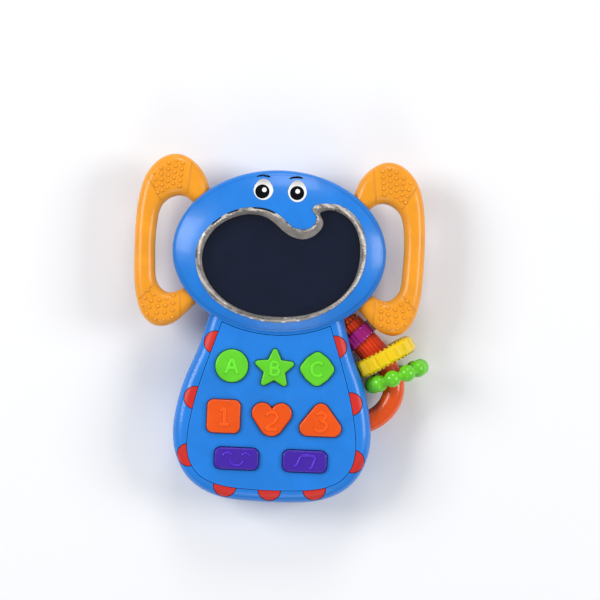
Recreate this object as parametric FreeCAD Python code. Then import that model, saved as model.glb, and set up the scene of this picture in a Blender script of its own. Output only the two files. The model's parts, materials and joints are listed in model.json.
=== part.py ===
"""Elephant-faced baby phone: shells, lens, keys, teether ears, click-and-twist ring holder.

Units are millimetres. The toy lies on its back: +Z points out of the face, +Y to the top of
the head, +X to the right seen from the front. The origin is on the flat back, on the centre
line, at half the overall height.
"""
import FreeCAD
import Part
import math
import os
from FreeCAD import Matrix
from FreeCAD import Rotation
from FreeCAD import Vector

# ---------------------------------------------------------------- driving dimensions
PART_Z = 19.0            # parting plane between the two shells
WALL = 2.0               # moulded wall
BACK_ROUND = 7.0         # rounding around the back face
REAR_STEPS = [(WALL, 7.0), (3.2, 4.0), (5.4, WALL)]   # inset and floor of each step of the hollow

HEAD_Y = 31.9            # head centre
HEAD_A = 43.9            # half width of the head
HEAD_B = 33.8            # half height of the head
HEAD_RIM_Z = 26.2        # top of the flat rim round the head
HEAD_RIM_ROUND = 3.0
CROWN_STEP = 2.2         # rim width before the crown rises
CROWN_Z = 21.5           # centre height of the crown ellipsoid
CROWN_RISE = 12.0
CROWN_SPREAD = 1.12      # crown ellipsoid over the crease ellipse

BODY_TOP_Z = 25.0        # keypad border and panel height
BODY_ROUND = 5.0         # rounding of the border
NECK_Y = 8.0             # top of the body outline, hidden inside the head
BODY_SIDE = [(27.0, NECK_Y), (28.7, 2.0), (32.4, -10.2), (36.5, -20.5), (40.0, -34.4), (40.8, -42.5),
             (40.0, -50.0), (37.4, -57.0), (33.8, -62.2), (27.4, -66.9), (19.3, -69.7), (9.5, -70.7)]
BODY_END = (0.0, -70.9)

PANEL_SIDE = [(20.6, NECK_Y), (23.6, -2.0), (27.2, -12.8), (30.8, -24.8), (33.1, -35.0), (34.5, -46.5),
              (33.5, -54.0), (29.6, -60.0), (23.1, -63.5), (13.0, -65.2)]
PANEL_END = (0.0, -65.6)
PANEL_T = 2.0
PANEL_GAP = 0.3

ACCENT_R = 4.6           # half-round accent pads round the keypad
ACCENT_AT = [(24.6, -6.0), (31.9, -29.0), (33.8, -52.5), (18.3, -64.5)]
ACCENT_END = (0.0, -65.4)
ACCENT_Z = 22.0          # underside of the accent ring
ACCENT_SINK = 0.25       # pads sit this far below the border

# window outline: trunk tip hangs into it from the top
LENS_OUTER = [(12.9, 50.5), (14.3, 51.7), (17.8, 52.4), (23.5, 52.1), (28.3, 49.7), (32.2, 45.6),
              (34.9, 38.6), (35.4, 31.0), (33.2, 22.1), (27.4, 13.8), (18.3, 7.3), (9.0, 4.1),
              (0.5, 3.2), (-8.0, 3.9), (-17.0, 6.6), (-25.0, 11.0), (-30.6, 17.4), (-33.6, 25.0),
              (-34.0, 30.8), (-32.3, 36.5), (-28.6, 41.7), (-23.0, 46.2), (-16.5, 49.0), (-9.9, 49.8),
              (-5.2, 49.2), (-1.8, 47.7), (2.1, 44.8), (5.0, 42.4), (8.8, 41.5), (12.6, 42.4),
              (14.4, 44.8), (14.4, 47.4)]
LENS_INNER = [(16.3, 49.0), (19.3, 50.0), (23.6, 49.4), (28.4, 46.4), (31.9, 40.9), (33.2, 33.4),
              (31.6, 22.8), (25.1, 13.6), (13.9, 7.3), (0.9, 5.4), (-12.4, 7.0), (-22.6, 12.2),
              (-29.2, 19.8), (-31.6, 28.0), (-30.4, 34.6), (-26.9, 40.4), (-20.4, 45.0), (-11.7, 47.1),
              (-6.7, 46.3), (-2.9, 44.3), (0.8, 41.2), (5.0, 38.6), (9.2, 37.7), (13.9, 39.3),
              (16.9, 42.6), (17.1, 45.9)]
WINDOW_CENTRE = (0.8, 28.5)
LENS_PROUD = 0.2         # lens rim above the crown
LENS_FOOT_Z = 25.5
WINDOW_LOW_Z = 26.2
WINDOW_TOP_Z = 27.4
LENS_SLOPE_TOP_Z = 34.5  # height where the sloped rim would reach the outer outline
CARD_T = 0.6
TRAY_T = 0.9
TRAY_SPREAD = 1.03
CARD_SHRINK = 0.994

# keys
KEY_FLANGE_LOW_Z = 21.7
KEY_FLANGE_TOP_Z = 22.9
KEY_TOP_Z = 26.6
KEY_GAP = 0.3
KEY_FLANGE = 1.1
KEY_ROUND = 0.8
CIRCLE_KEY_R = 6.75
STAR_TIP_R = 7.2
STAR_VALLEY_R = 3.4
STAR_CORNER = 1.1
DIAMOND_HALF = 7.0
DIAMOND_CORNER = 2.8
DIAMOND_BULGE = 0.3
SQUARE_HALF = 6.85
SQUARE_CORNER = 2.6
HEART_LOBE = (3.9, 2.2)
HEART_LOBE_R = 4.3
HEART_FOOT = (0.0, -2.2)
HEART_FOOT_R = 5.0
TRIANGLE_HALF_X = 8.6
TRIANGLE_HALF_Y = 6.8
TRIANGLE_CORNER = 3.4
BAR_KEY_HALF_X = 9.1
BAR_KEY_HALF_Y = 4.5
BAR_KEY_CORNER = 2.6
PCB_LOW_Z = 17.7
PCB_TOP_Z = 19.3
MAT_TOP_Z = 19.9
PAD_R = 1.9
DOME_LOW_R = 3.8
DOME_TOP_R = 2.6
DOME_TOP_Z = 21.65
BOARD_INSET = 6.0

# teether ears (right ear; the left one is its mirror)
EAR_Z = 19.0
EAR_T = 10.0
EAR_ROUND = 4.0
EAR_BITE = 5.5           # how far the ear reaches into the head
EAR_OUTER = [(30.3, 58.4), (32.7, 63.8), (37.0, 68.3), (43.1, 70.9), (48.6, 69.8), (52.8, 66.7),
             (56.1, 62.0), (58.5, 54.0), (59.7, 42.0), (59.7, 28.0), (59.0, 16.0), (57.4, 8.6),
             (54.6, 3.1), (49.4, -0.2), (44.0, 0.5), (38.8, 4.2), (34.6, 8.6)]
EAR_OUTER_INSIDE = [(22.0, 20.0), (20.0, 46.0)]
EAR_INNER = [(37.0, 51.6), (43.4, 53.6), (48.6, 50.2), (50.8, 43.0), (51.3, 33.5), (50.9, 23.5),
             (49.7, 17.4), (45.3, 13.8), (39.6, 15.4)]
EAR_INNER_INSIDE = [(25.0, 24.0), (25.0, 44.0)]

# ring holder: straight click bar, then a bend back into the side of the body
BAR_Z = 13.0
BAR_R = 4.4
BAR_FROM = Vector(27.7, 5.7, BAR_Z)       # where the bar leaves the head
BAR_ANGLE = -45.4                         # direction of the straight bar in plan
BAR_STRAIGHT = 25.8
BAR_ROOT = 6.0                            # length hidden in the head
BEND_R = 13.6
BEND_TURN = 74.0                          # degrees of the tighter bend
RETURN_R = 17.0
RETURN_TURN = 56.0                        # degrees of the wider bend into the body
BARREL_FROM = 3.0
BARREL_TO = 25.6
BARREL_CORE_R = 5.45
BARREL_RIB_R = 0.85
BARREL_RIB_AT = 5.0
BARREL_RIBS = 20
RUNNING_GAP = 0.06
COLLAR_FROM = 1.3
COLLAR_TO = 2.8
COLLAR_R = 5.3
COLLAR_TEETH = 16

NOTCH_FROM = 1.0         # relief for the rings, along the bar
NOTCH_LENGTH = 28.0
NOTCH_IN = 12.3          # relief towards the body, below the parting plane
NOTCH_OUT = 16.0
NOTCH_FRONT_IN = 8.4     # shallower relief in the front shell
NOTCH_TOP_Z = 20.9
NOTCH_FLOOR_Z = 20.1     # floor of the front shell over the relief

PURPLE_AT = 9.5
PURPLE_T = 5.6
PURPLE_BORE_R = 6.15
PURPLE_CORE_R = 7.1
PURPLE_LOBES = 8
PURPLE_LOBE_R = 2.3
PURPLE_LOBE_AT = 5.45
YELLOW_CENTRE = Vector(45.5, -9.3, 13.55)
YELLOW_PLANE = 31.0
YELLOW_T = 7.2
YELLOW_BORE_R = 9.5
YELLOW_R = 13.25
YELLOW_FLUTES = 18
YELLOW_TEETH = 36
YELLOW_TOOTH = 0.55
GREEN_CENTRE = Vector(50.7, -17.05, 14.3)
GREEN_PLANE = 23.0
GREEN_BEADS = 10
GREEN_BEAD_R = 3.5
GREEN_BEAD_AT = 10.5
GREEN_LINK_R = 1.9

# battery bay: two AAA cells side by side, along X
CELL_R = 5.2
CELL_LENGTH = 43.6
CELL_Z = 8.0
CELL_Y = (-41.2, -52.2)
BAY_X = 25.2
BAY_Y = (-34.8, -58.6)
BAY_TOP_Z = 13.6
BAY_WALL = 1.4
DOOR_T = 1.8
DOOR_LEDGE = 1.4
DOOR_EAR_R = 3.6
DOOR_SCREW_AT = (0.0, BAY_Y[0] + 3.0)
DOOR_GAP = 0.2

SPEAKER_AT = (0.0, 38.0)
SPEAKER_R = 13.9
GRILLE_R = 10.5
GRILLE_SLOT = 1.6
GRILLE_PITCH = 3.2

SWITCH_AT = (0.0, 11.0)
SWITCH_TRAVEL = 4.0
SWITCH_FLOOR_Z = 3.4
SWITCH_BLOCK_Z = 5.0

CASE_SCREWS_HEAD = [(-13.0, 56.6), (13.0, 56.6)]
CASE_SCREWS_BODY = [(-28.3, -22.6), (28.3, -22.6)]
CASE_BOSS_R = 3.0
PILLAR_R = 2.6           # posts under the keypad panel
HEAD_POST_TOP_Z = 27.8   # screw posts run into the underside of the crown
CASE_SCREW_R = 1.1
CASE_HEAD_R = 2.4
CASE_HEAD_Z = 5.0
BOARD_SCREWS = [(-9.5, -25.8), (9.5, -25.8), (-9.5, -45.8), (9.5, -45.8)]
LAMP_BOARD_Z = 17.0
LAMP_BOARD_T = 1.2
LAMP_SCREWS = [(-17.5, 17.0), (17.5, 17.0), (-17.5, 36.0), (17.5, 36.0)]
POST_R = 2.2
LED_X = (-13.0, 0.0, 13.0)
LED_Y = 26.5
LED_R = 2.5
LED_TOP_Z = 23.8

UP = Vector(0, 0, 1)


# ---------------------------------------------------------------- small helpers
def vec(point, z=0.0):
    """Plan point to a vector at height z."""
    return Vector(point[0], point[1], z)


def smooth_edge(points, z, closed=False):
    """One curve through plan points."""
    curve = Part.BSplineCurve()
    curve.interpolate(Points=[vec(p, z) for p in points], PeriodicFlag=closed)
    return curve.toShape()


def inset_points(points, inset):
    """Points of an open outline, walked clockwise seen from +Z, moved inwards."""
    moved = []
    last = len(points) - 1
    for i, point in enumerate(points):
        before = vec(points[max(i - 1, 0)])
        after = vec(points[min(i + 1, last)])
        run = (after - before).normalize()
        inward = Vector(run.y, -run.x, 0)
        place = vec(point) + inward * inset
        moved.append((place.x, place.y))
    return moved


def half_outline(side, end, inset, z):
    """Symmetric outline from its right side: a curve closed by a line at the neck."""
    left = [(-x, y) for x, y in reversed(side)]
    points = inset_points(side + [end] + left, inset)
    top_y = side[0][1]
    points[0] = (points[0][0], top_y)
    points[-1] = (-points[0][0], top_y)
    curve = smooth_edge(points, z)
    line = Part.LineSegment(vec(points[-1], z), vec(points[0], z)).toShape()
    return Part.Wire([curve, line])


def body_wire(inset, z):
    return half_outline(BODY_SIDE, BODY_END, inset, z)


def panel_wire(inset, z):
    return half_outline(PANEL_SIDE, PANEL_END, inset, z)


def head_wire(inset, z):
    """Head ellipse moved inwards by inset."""
    ring = Part.Ellipse(Vector(0, HEAD_Y, z), HEAD_A - inset, HEAD_B - inset)
    return Part.Wire([ring.toShape()])


def closed_wire(points, z):
    return Part.Wire([smooth_edge(points, z, closed=True)])


def lens_wire(z):
    return closed_wire(LENS_OUTER, z)


def window_wire(z):
    return closed_wire(LENS_INNER, z)


def scaled_points(points, factor):
    """Outline points spread from or drawn to the window centre."""
    centre_x, centre_y = WINDOW_CENTRE
    return [(centre_x + (x - centre_x) * factor, centre_y + (y - centre_y) * factor) for x, y in points]


def prism(wire, z_top):
    """Solid from a flat wire up (or down) to z_top."""
    z_low = wire.BoundBox.ZMin
    return Part.Face(wire).extrude(Vector(0, 0, z_top - z_low))


def box(x0, x1, y0, y1, z0, z1):
    return Part.makeBox(x1 - x0, y1 - y0, z1 - z0, Vector(x0, y0, z0))


def post(x, y, radius, z0, z1):
    return Part.makeCylinder(radius, z1 - z0, Vector(x, y, z0), UP)


def revolve(profile, x, y):
    """Spin a closed radius-height profile about a vertical axis."""
    loop = [Vector(r, 0, z) for r, z in profile]
    face = Part.Face(Part.makePolygon(loop + loop[:1]))
    solid = face.revolve(Vector(0, 0, 0), UP, 360)
    solid.translate(Vector(x, y, 0))
    return solid


def join(shapes):
    """Fuse shapes one after another."""
    whole = shapes[0]
    for shape in shapes[1:]:
        whole = whole.fuse(shape)
    return whole


def cut(whole, tools):
    """Cut tools out of a shape one after another."""
    for tool in tools:
        whole = whole.cut(tool)
    return whole


def edges_at(shape, z, lowest_length=3.0):
    """Edges lying flat at height z."""
    flat = [e for e in shape.Edges if abs(e.BoundBox.ZMin - z) < 1e-3 and abs(e.BoundBox.ZMax - z) < 1e-3]
    return [e for e in flat if e.Length > lowest_length]


def curved_edges_at(shape, z):
    return [e for e in edges_at(shape, z) if not isinstance(e.Curve, Part.Line)]


def ellipsoid(shrink):
    """Crown of the head, moved inwards by shrink."""
    half_x = (HEAD_A - CROWN_STEP) * CROWN_SPREAD - shrink
    half_y = (HEAD_B - CROWN_STEP) * CROWN_SPREAD - shrink
    scale = Matrix()
    scale.scale(half_x, half_y, CROWN_RISE - shrink)
    ball = Part.makeSphere(1.0).transformGeometry(scale)
    ball.translate(Vector(0, HEAD_Y, CROWN_Z))
    return ball


def bar_point(along, across=0.0, z=BAR_Z):
    """Place on the holder's straight axis; across is measured away from the body."""
    turn = math.radians(BAR_ANGLE)
    ahead = Vector(math.cos(turn), math.sin(turn), 0)
    aside = Vector(-ahead.y, ahead.x, 0)
    place = BAR_FROM + ahead * along + aside * across
    return Vector(place.x, place.y, z)


def bar_direction():
    turn = math.radians(BAR_ANGLE)
    return Vector(math.cos(turn), math.sin(turn), 0)


def on_axis(shape, centre, direction):
    """Move a shape built about the Z axis onto a centre and direction."""
    shape.Placement = FreeCAD.Placement(centre, Rotation(UP, direction))
    return shape


def save(shape, node):
    solids = shape.Solids
    clean = solids[0] if len(solids) == 1 else Part.makeCompound(solids)
    clean.exportStep("parts/" + node + ".step")
    print(node, len(solids), round(clean.Volume), clean.isValid())


# ---------------------------------------------------------------- shells
def body_front_outer():
    solid = prism(body_wire(0.0, PART_Z), BODY_TOP_Z)
    return solid.makeFillet(BODY_ROUND, curved_edges_at(solid, BODY_TOP_Z))


def head_front_outer():
    rim = prism(head_wire(0.0, PART_Z), HEAD_RIM_Z)
    rim = rim.makeFillet(HEAD_RIM_ROUND, edges_at(rim, HEAD_RIM_Z))
    crown = prism(head_wire(CROWN_STEP, PART_Z), HEAD_RIM_Z + CROWN_RISE).common(ellipsoid(0.0))
    return rim.fuse(crown)


def bar_box(reach_in, grow, z_low, z_top):
    """Box laid along the holder bar, reaching towards the body by reach_in."""
    block = Part.makeBox(NOTCH_LENGTH + grow, reach_in + NOTCH_OUT, z_top - z_low)
    block.rotate(Vector(0, 0, 0), UP, BAR_ANGLE)
    block.translate(bar_point(NOTCH_FROM - grow, -reach_in, z_low))
    return block


def rear_notch(grow):
    """Relief beside the neck where the rings turn."""
    return bar_box(NOTCH_IN + grow, grow, -1.0, PART_Z)


def front_notch():
    return bar_box(NOTCH_FRONT_IN, 0.0, PART_Z - 1.0, NOTCH_TOP_Z)


def notch_floor(outer):
    """Floor that closes the front shell over the relief."""
    return bar_box(NOTCH_IN + WALL, WALL, PART_Z, NOTCH_FLOOR_Z).common(outer)


def front_cavity():
    body_low = prism(body_wire(WALL, PART_Z), PART_Z + 2.2)
    body_high = prism(body_wire(WALL + 1.6, PART_Z), BODY_TOP_Z - WALL)
    head_low = prism(head_wire(WALL, PART_Z), HEAD_RIM_Z - WALL)
    head_high = prism(head_wire(CROWN_STEP + WALL, PART_Z), HEAD_RIM_Z + CROWN_RISE).common(ellipsoid(WALL))
    hollow = join([body_low, body_high, head_low, head_high])
    return hollow.cut(bar_box(NOTCH_IN + WALL, WALL, PART_Z - 1.0, BODY_TOP_Z))


def panel_opening(gap):
    """Keypad opening: panel outline below the chin."""
    block = prism(panel_wire(-gap, PART_Z), BODY_TOP_Z + 5.0)
    return block.cut(prism(head_wire(gap - PANEL_GAP, PART_Z - 1.0), BODY_TOP_Z + 6.0))


def accent_places():
    right = [(x, y) for x, y in ACCENT_AT]
    left = [(-x, y) for x, y in ACCENT_AT]
    return right + [ACCENT_END] + left


def accent_ring(body_outer):
    pads = join([post(x, y, ACCENT_R, ACCENT_Z, BODY_TOP_Z + 5.0) for x, y in accent_places()])
    lowered = body_outer.copy()
    lowered.translate(Vector(0, 0, -ACCENT_SINK))
    pads = pads.common(lowered).cut(panel_opening(PANEL_GAP))
    band = prism(panel_wire(-1.9, ACCENT_Z), BODY_TOP_Z - PANEL_T - 0.1)
    band = band.cut(prism(panel_wire(1.5, ACCENT_Z - 1.0), BODY_TOP_Z))
    band = band.cut(prism(head_wire(-1.0, ACCENT_Z - 1.0), BODY_TOP_Z))
    pillar_room = [post(x, y, PILLAR_R + 0.2, ACCENT_Z - 1.0, BODY_TOP_Z) for x, y in CASE_SCREWS_BODY]
    return join([cut(band, pillar_room), pads])


def accent_pockets():
    return [post(x, y, ACCENT_R + PANEL_GAP, ACCENT_Z, BODY_TOP_Z + 5.0) for x, y in accent_places()]


def head_posts_front():
    posts = []
    for x, y in CASE_SCREWS_HEAD:
        pillar = post(x, y, CASE_BOSS_R, PART_Z, HEAD_POST_TOP_Z)
        posts.append(pillar.cut(post(x, y, CASE_SCREW_R, PART_Z, PART_Z + 5.0)))
    return posts


def front_shell(body_outer, accents, ears):
    outer = body_outer.fuse(head_front_outer()).removeSplitter()
    shell = outer.cut(front_cavity())
    shell = join([shell] + head_posts_front())
    shell = shell.cut(prism(lens_wire(PART_Z), HEAD_RIM_Z + CROWN_RISE))
    shell = shell.cut(panel_opening(PANEL_GAP))
    shell = shell.fuse(notch_floor(body_outer))
    shell = cut(shell, accent_pockets() + [accents, front_notch()])
    return cut(shell, ears)


def rear_outer():
    """Rear half with a generous rounding to the flat back."""
    body = prism(body_wire(0.0, 0.0), PART_Z)
    body = body.makeFillet(BACK_ROUND, curved_edges_at(body, 0.0))
    head = prism(head_wire(0.0, 0.0), PART_Z)
    head = head.makeFillet(BACK_ROUND, edges_at(head, 0.0))
    return body.fuse(head)


def rear_hollows():
    """Hollow in three steps that follow the rounding, kept off the ring relief."""
    steps = []
    for inset, z_low in REAR_STEPS:
        steps.append(prism(body_wire(inset, z_low), PART_Z + 1.0))
        steps.append(prism(head_wire(inset, z_low), PART_Z + 1.0))
    return [step.cut(rear_notch(WALL)) for step in steps]


def bay_block():
    """Battery bay as a solid block and its hollow."""
    wall_x = BAY_X + BAY_WALL + DOOR_LEDGE
    block = box(-wall_x, wall_x, BAY_Y[1] - BAY_WALL - DOOR_LEDGE, BAY_Y[0] + BAY_WALL + DOOR_LEDGE, 0.3, 4.0)
    tall = box(-BAY_X - BAY_WALL, BAY_X + BAY_WALL, BAY_Y[1] - BAY_WALL, BAY_Y[0] + BAY_WALL, 0.3,
               BAY_TOP_Z + BAY_WALL)
    hollow = box(-BAY_X, BAY_X, BAY_Y[1], BAY_Y[0], DOOR_T, BAY_TOP_Z)
    ear_x, ear_y = DOOR_SCREW_AT
    block = block.fuse(post(ear_x, ear_y, DOOR_EAR_R + 1.6, 0.3, 8.0))
    seat = door_plate(DOOR_GAP, -1.0).fuse(post(ear_x, ear_y, DOOR_EAR_R + DOOR_GAP, -1.0, DOOR_T))
    return block.fuse(tall), hollow, seat


def door_plate(gap, z_low):
    half_x = BAY_X + DOOR_LEDGE + gap
    low_y = BAY_Y[1] - DOOR_LEDGE - gap
    high_y = BAY_Y[0] + DOOR_LEDGE + gap
    return box(-half_x, half_x, low_y, high_y, z_low, DOOR_T)


def grille_slots():
    slots = []
    rows = int(GRILLE_R / GRILLE_PITCH)
    for row in range(-rows, rows + 1):
        dx = row * GRILLE_PITCH
        reach = math.sqrt(GRILLE_R ** 2 - dx ** 2)
        x = SPEAKER_AT[0] + dx
        y = SPEAKER_AT[1]
        slots.append(box(x - GRILLE_SLOT / 2, x + GRILLE_SLOT / 2, y - reach, y + reach, -1.0, WALL + 1.0))
    return slots


def case_screw_places():
    return CASE_SCREWS_HEAD + CASE_SCREWS_BODY


def rear_bosses():
    bosses = [post(x, y, CASE_BOSS_R, WALL / 2, PART_Z) for x, y in case_screw_places()]
    bosses += [post(x, y, POST_R, WALL / 2, PCB_LOW_Z) for x, y in BOARD_SCREWS[:2]]
    bosses += [post(x, y, POST_R, BAY_TOP_Z + 0.5, PCB_LOW_Z) for x, y in BOARD_SCREWS[2:]]
    bosses += [post(x, y, POST_R, WALL / 2, LAMP_BOARD_Z) for x, y in LAMP_SCREWS]
    return bosses


def rear_holes():
    holes = []
    for x, y in case_screw_places():
        holes.append(post(x, y, CASE_SCREW_R + 0.2, -1.0, PART_Z + 1.0))
        holes.append(post(x, y, CASE_HEAD_R + 0.3, -1.0, CASE_HEAD_Z))
    for x, y in BOARD_SCREWS:
        holes.append(post(x, y, 0.8, PCB_LOW_Z - 4.0, PCB_LOW_Z + 1.0))
    for x, y in LAMP_SCREWS:
        holes.append(post(x, y, 0.8, LAMP_BOARD_Z - 4.0, LAMP_BOARD_Z + 1.0))
    return holes


def switch_block():
    x, y = SWITCH_AT
    block = box(x - 9.5, x + 9.5, y - 5.5, y + 5.5, 0.5, SWITCH_BLOCK_Z)
    pocket = box(x - 8.0, x + 8.0, y - 4.0, y + 4.0, -1.0, SWITCH_FLOOR_Z)
    slot = box(x - 4.6, x + 4.6, y - 1.8, y + 1.8, -1.0, SWITCH_BLOCK_Z + 1.0)
    return block, [pocket, slot]


def holder_seats(outer):
    """Bosses that grip both ends of the ring holder."""
    upper = on_axis(Part.makeCylinder(BAR_R + 2.0, BAR_ROOT + 3.0), bar_point(-BAR_ROOT - 1.0),
                    bar_direction())
    end = return_point(0.82)
    lower = on_axis(Part.makeCylinder(BAR_R + 2.0, 11.0), end + return_direction(0.82) * -5.0,
                    return_direction(0.82))
    return upper.common(outer), lower.common(outer)


def rear_shell(holder, ears):
    outer = rear_outer()
    shell = cut(outer, rear_hollows())
    block, hollow, seat = bay_block()
    upper, lower = holder_seats(outer)
    switch, switch_cuts = switch_block()
    ring = post(SPEAKER_AT[0], SPEAKER_AT[1], SPEAKER_R + 1.4, 1.0, 4.6)
    ring = ring.cut(post(SPEAKER_AT[0], SPEAKER_AT[1], SPEAKER_R + 0.2, 0.0, 5.0))
    shell = join([shell, block, upper, lower, switch, ring] + rear_bosses())
    tools = [hollow, seat, rear_notch(0.0), holder]
    tools += switch_cuts + grille_slots() + rear_holes()
    tools.append(door_screw_hole())
    return cut(cut(shell, tools), ears)


# ---------------------------------------------------------------- screen
def screen_lens():
    rim = prism(lens_wire(LENS_FOOT_Z), HEAD_RIM_Z + CROWN_RISE).common(ellipsoid(-LENS_PROUD))
    slope = Part.makeLoft([window_wire(WINDOW_TOP_Z), lens_wire(LENS_SLOPE_TOP_Z)], True, True)
    under = prism(window_wire(LENS_FOOT_Z - 1.0), WINDOW_LOW_Z)
    return rim.cut(slope).cut(under)


def lenticular_card():
    outline = closed_wire(scaled_points(LENS_INNER, CARD_SHRINK), WINDOW_LOW_Z - CARD_T - 0.05)
    return prism(outline, WINDOW_LOW_Z - 0.05)


def light_tray():
    outline = closed_wire(scaled_points(LENS_OUTER, TRAY_SPREAD), LENS_FOOT_Z - TRAY_T)
    return prism(outline, LENS_FOOT_Z)


def lamp_board():
    board = box(-21.0, 21.0, 13.5, 39.5, LAMP_BOARD_Z, LAMP_BOARD_Z + LAMP_BOARD_T)
    return cut(board, [post(x, y, 1.0, 0.0, PCB_TOP_Z) for x, y in LAMP_SCREWS])


def lamps():
    low = LAMP_BOARD_Z + LAMP_BOARD_T
    lamp_list = []
    for x in LED_X:
        stem = post(x, LED_Y, LED_R, low, LED_TOP_Z - LED_R)
        dome = Part.makeSphere(LED_R, Vector(x, LED_Y, LED_TOP_Z - LED_R))
        lamp_list.append(stem.fuse(dome).removeSplitter())
    return Part.makeCompound(lamp_list)


# ---------------------------------------------------------------- keys
def rounded(points, radius):
    """Polygon grown by radius, so its corners are round."""
    loop = [vec(p) for p in points]
    return Part.makePolygon(loop + loop[:1]).makeOffset2D(radius)


def circle_outline():
    return Part.Wire([Part.Circle(Vector(0, 0, 0), UP, CIRCLE_KEY_R).toShape()])


def star_outline():
    """Five slender arms with round tips."""
    points = []
    for i in range(10):
        radius = STAR_TIP_R if i % 2 == 0 else STAR_VALLEY_R
        turn = math.radians(90 + 36 * i)
        points.append((radius * math.cos(turn), radius * math.sin(turn)))
    return rounded(points, STAR_CORNER)


def diamond_outline():
    """Diamond whose sides bulge a little."""
    reach = DIAMOND_HALF - DIAMOND_CORNER
    bulge = reach / 2 + DIAMOND_BULGE
    points = [(reach, 0), (bulge, bulge), (0, reach), (-bulge, bulge)]
    return rounded(points + [(-x, -y) for x, y in points], DIAMOND_CORNER)


def block_outline(half_x, half_y, corner):
    """Rectangle with round corners."""
    x = half_x - corner
    y = half_y - corner
    return rounded([(x, y), (-x, y), (-x, -y), (x, -y)], corner)


def square_outline():
    return block_outline(SQUARE_HALF, SQUARE_HALF, SQUARE_CORNER)


def bar_outline():
    return block_outline(BAR_KEY_HALF_X, BAR_KEY_HALF_Y, BAR_KEY_CORNER)


def heart_outline():
    """Two lobes and a round foot, joined by the lines that touch both."""
    lobe = vec(HEART_LOBE)
    foot = vec(HEART_FOOT)
    run = foot - lobe
    turn = math.atan2(run.y, run.x) + math.acos((HEART_LOBE_R - HEART_FOOT_R) / run.Length)
    side = Vector(math.cos(turn), math.sin(turn), 0)
    lobe_touch = lobe + side * HEART_LOBE_R
    foot_touch = foot + side * HEART_FOOT_R
    cleft = Vector(0, lobe.y + math.sqrt(HEART_LOBE_R ** 2 - lobe.x ** 2), 0)
    crest = lobe + Vector(0, HEART_LOBE_R, 0)
    right = [Part.LineSegment(foot_touch, lobe_touch).toShape(), Part.Arc(lobe_touch, crest, cleft).toShape()]
    left = [e.mirror(Vector(0, 0, 0), Vector(1, 0, 0)) for e in right]
    low = Vector(0, foot.y - HEART_FOOT_R, 0)
    under = Part.Arc(foot_touch, low, Vector(-foot_touch.x, foot_touch.y, 0)).toShape()
    return Part.Wire(Part.__sortEdges__(right + left + [under]))


def triangle_outline():
    x = TRIANGLE_HALF_X - TRIANGLE_CORNER
    y = TRIANGLE_HALF_Y - TRIANGLE_CORNER
    return rounded([(-x, -y), (x, -y), (0, y)], TRIANGLE_CORNER)


KEYS = {
    "key_a": (circle_outline, (-17.5, -15.3)),
    "key_b": (star_outline, (0.0, -15.9)),
    "key_c": (diamond_outline, (17.5, -15.2)),
    "key_1": (square_outline, (-20.0, -36.1)),
    "key_2": (heart_outline, (-0.3, -36.3)),
    "key_3": (triangle_outline, (19.8, -36.0)),
    "key_smile": (bar_outline, (-14.0, -53.2)),
    "key_music": (bar_outline, (14.0, -53.2)),
}


def key_prism(outline, centre, grow, z0, z1):
    wire = outline()
    if grow:
        wire = wire.makeOffset2D(grow)
    wire.translate(vec(centre, z0))
    return prism(wire, z1)


def key_cap(outline, centre):
    cap = key_prism(outline, centre, 0.0, KEY_FLANGE_LOW_Z, KEY_TOP_Z)
    cap = cap.makeFillet(KEY_ROUND, edges_at(cap, KEY_TOP_Z, 0.0))
    flange = key_prism(outline, centre, KEY_FLANGE, KEY_FLANGE_LOW_Z, KEY_FLANGE_TOP_Z)
    return join([cap, flange])


def key_dome(centre):
    height = DOME_TOP_Z - MAT_TOP_Z
    return Part.makeCone(DOME_LOW_R, DOME_TOP_R, height, vec(centre, MAT_TOP_Z), UP)


def keypad_panel():
    low = BODY_TOP_Z - PANEL_T
    above = BODY_TOP_Z + 1.0
    panel = prism(panel_wire(0.0, low), BODY_TOP_Z).cut(prism(head_wire(-PANEL_GAP, low - 1.0), above))
    holes = [key_prism(outline, centre, KEY_GAP, low - 1.0, above) for outline, centre in KEYS.values()]
    panel = cut(panel, holes)
    posts = []
    for x, y in CASE_SCREWS_BODY:
        pillar = post(x, y, PILLAR_R, PART_Z, low)
        posts.append(pillar.cut(post(x, y, CASE_SCREW_R, PART_Z, PART_Z + 3.5)))
    return join([panel] + posts)


def keypad_board():
    board = prism(panel_wire(BOARD_INSET, PCB_LOW_Z), PCB_TOP_Z)
    board = board.cut(box(-40.0, 40.0, -5.0, 20.0, 0.0, 40.0))
    board = board.cut(bar_box(NOTCH_IN + WALL + 0.4, 4.0, 0.0, 40.0))
    return cut(board, [post(x, y, 1.0, 0.0, 40.0) for x, y in BOARD_SCREWS])


def rubber_mat():
    mat = prism(panel_wire(BOARD_INSET + 0.6, PCB_TOP_Z), MAT_TOP_Z)
    mat = mat.cut(box(-40.0, 40.0, -5.6, 20.0, 0.0, 40.0)).cut(bar_box(NOTCH_IN + WALL + 0.8, 4.0, 0.0, 40.0))
    holes = [post(x, y, 2.4, 0.0, 40.0) for x, y in BOARD_SCREWS]
    holes += [post(x, y, PAD_R + 0.4, 0.0, 40.0) for _, (x, y) in KEYS.values()]
    return cut(mat, holes)


def contact_pads():
    return Part.makeCompound([post(x, y, PAD_R, PCB_TOP_Z, PCB_TOP_Z + 0.25) for _, (x, y) in KEYS.values()])


def chip_blob():
    ball = Part.makeSphere(9.0, Vector(0, -36.0, PCB_LOW_Z + 7.7))
    return ball.common(box(-9.0, 9.0, -45.0, -27.0, 10.0, PCB_LOW_Z))


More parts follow.
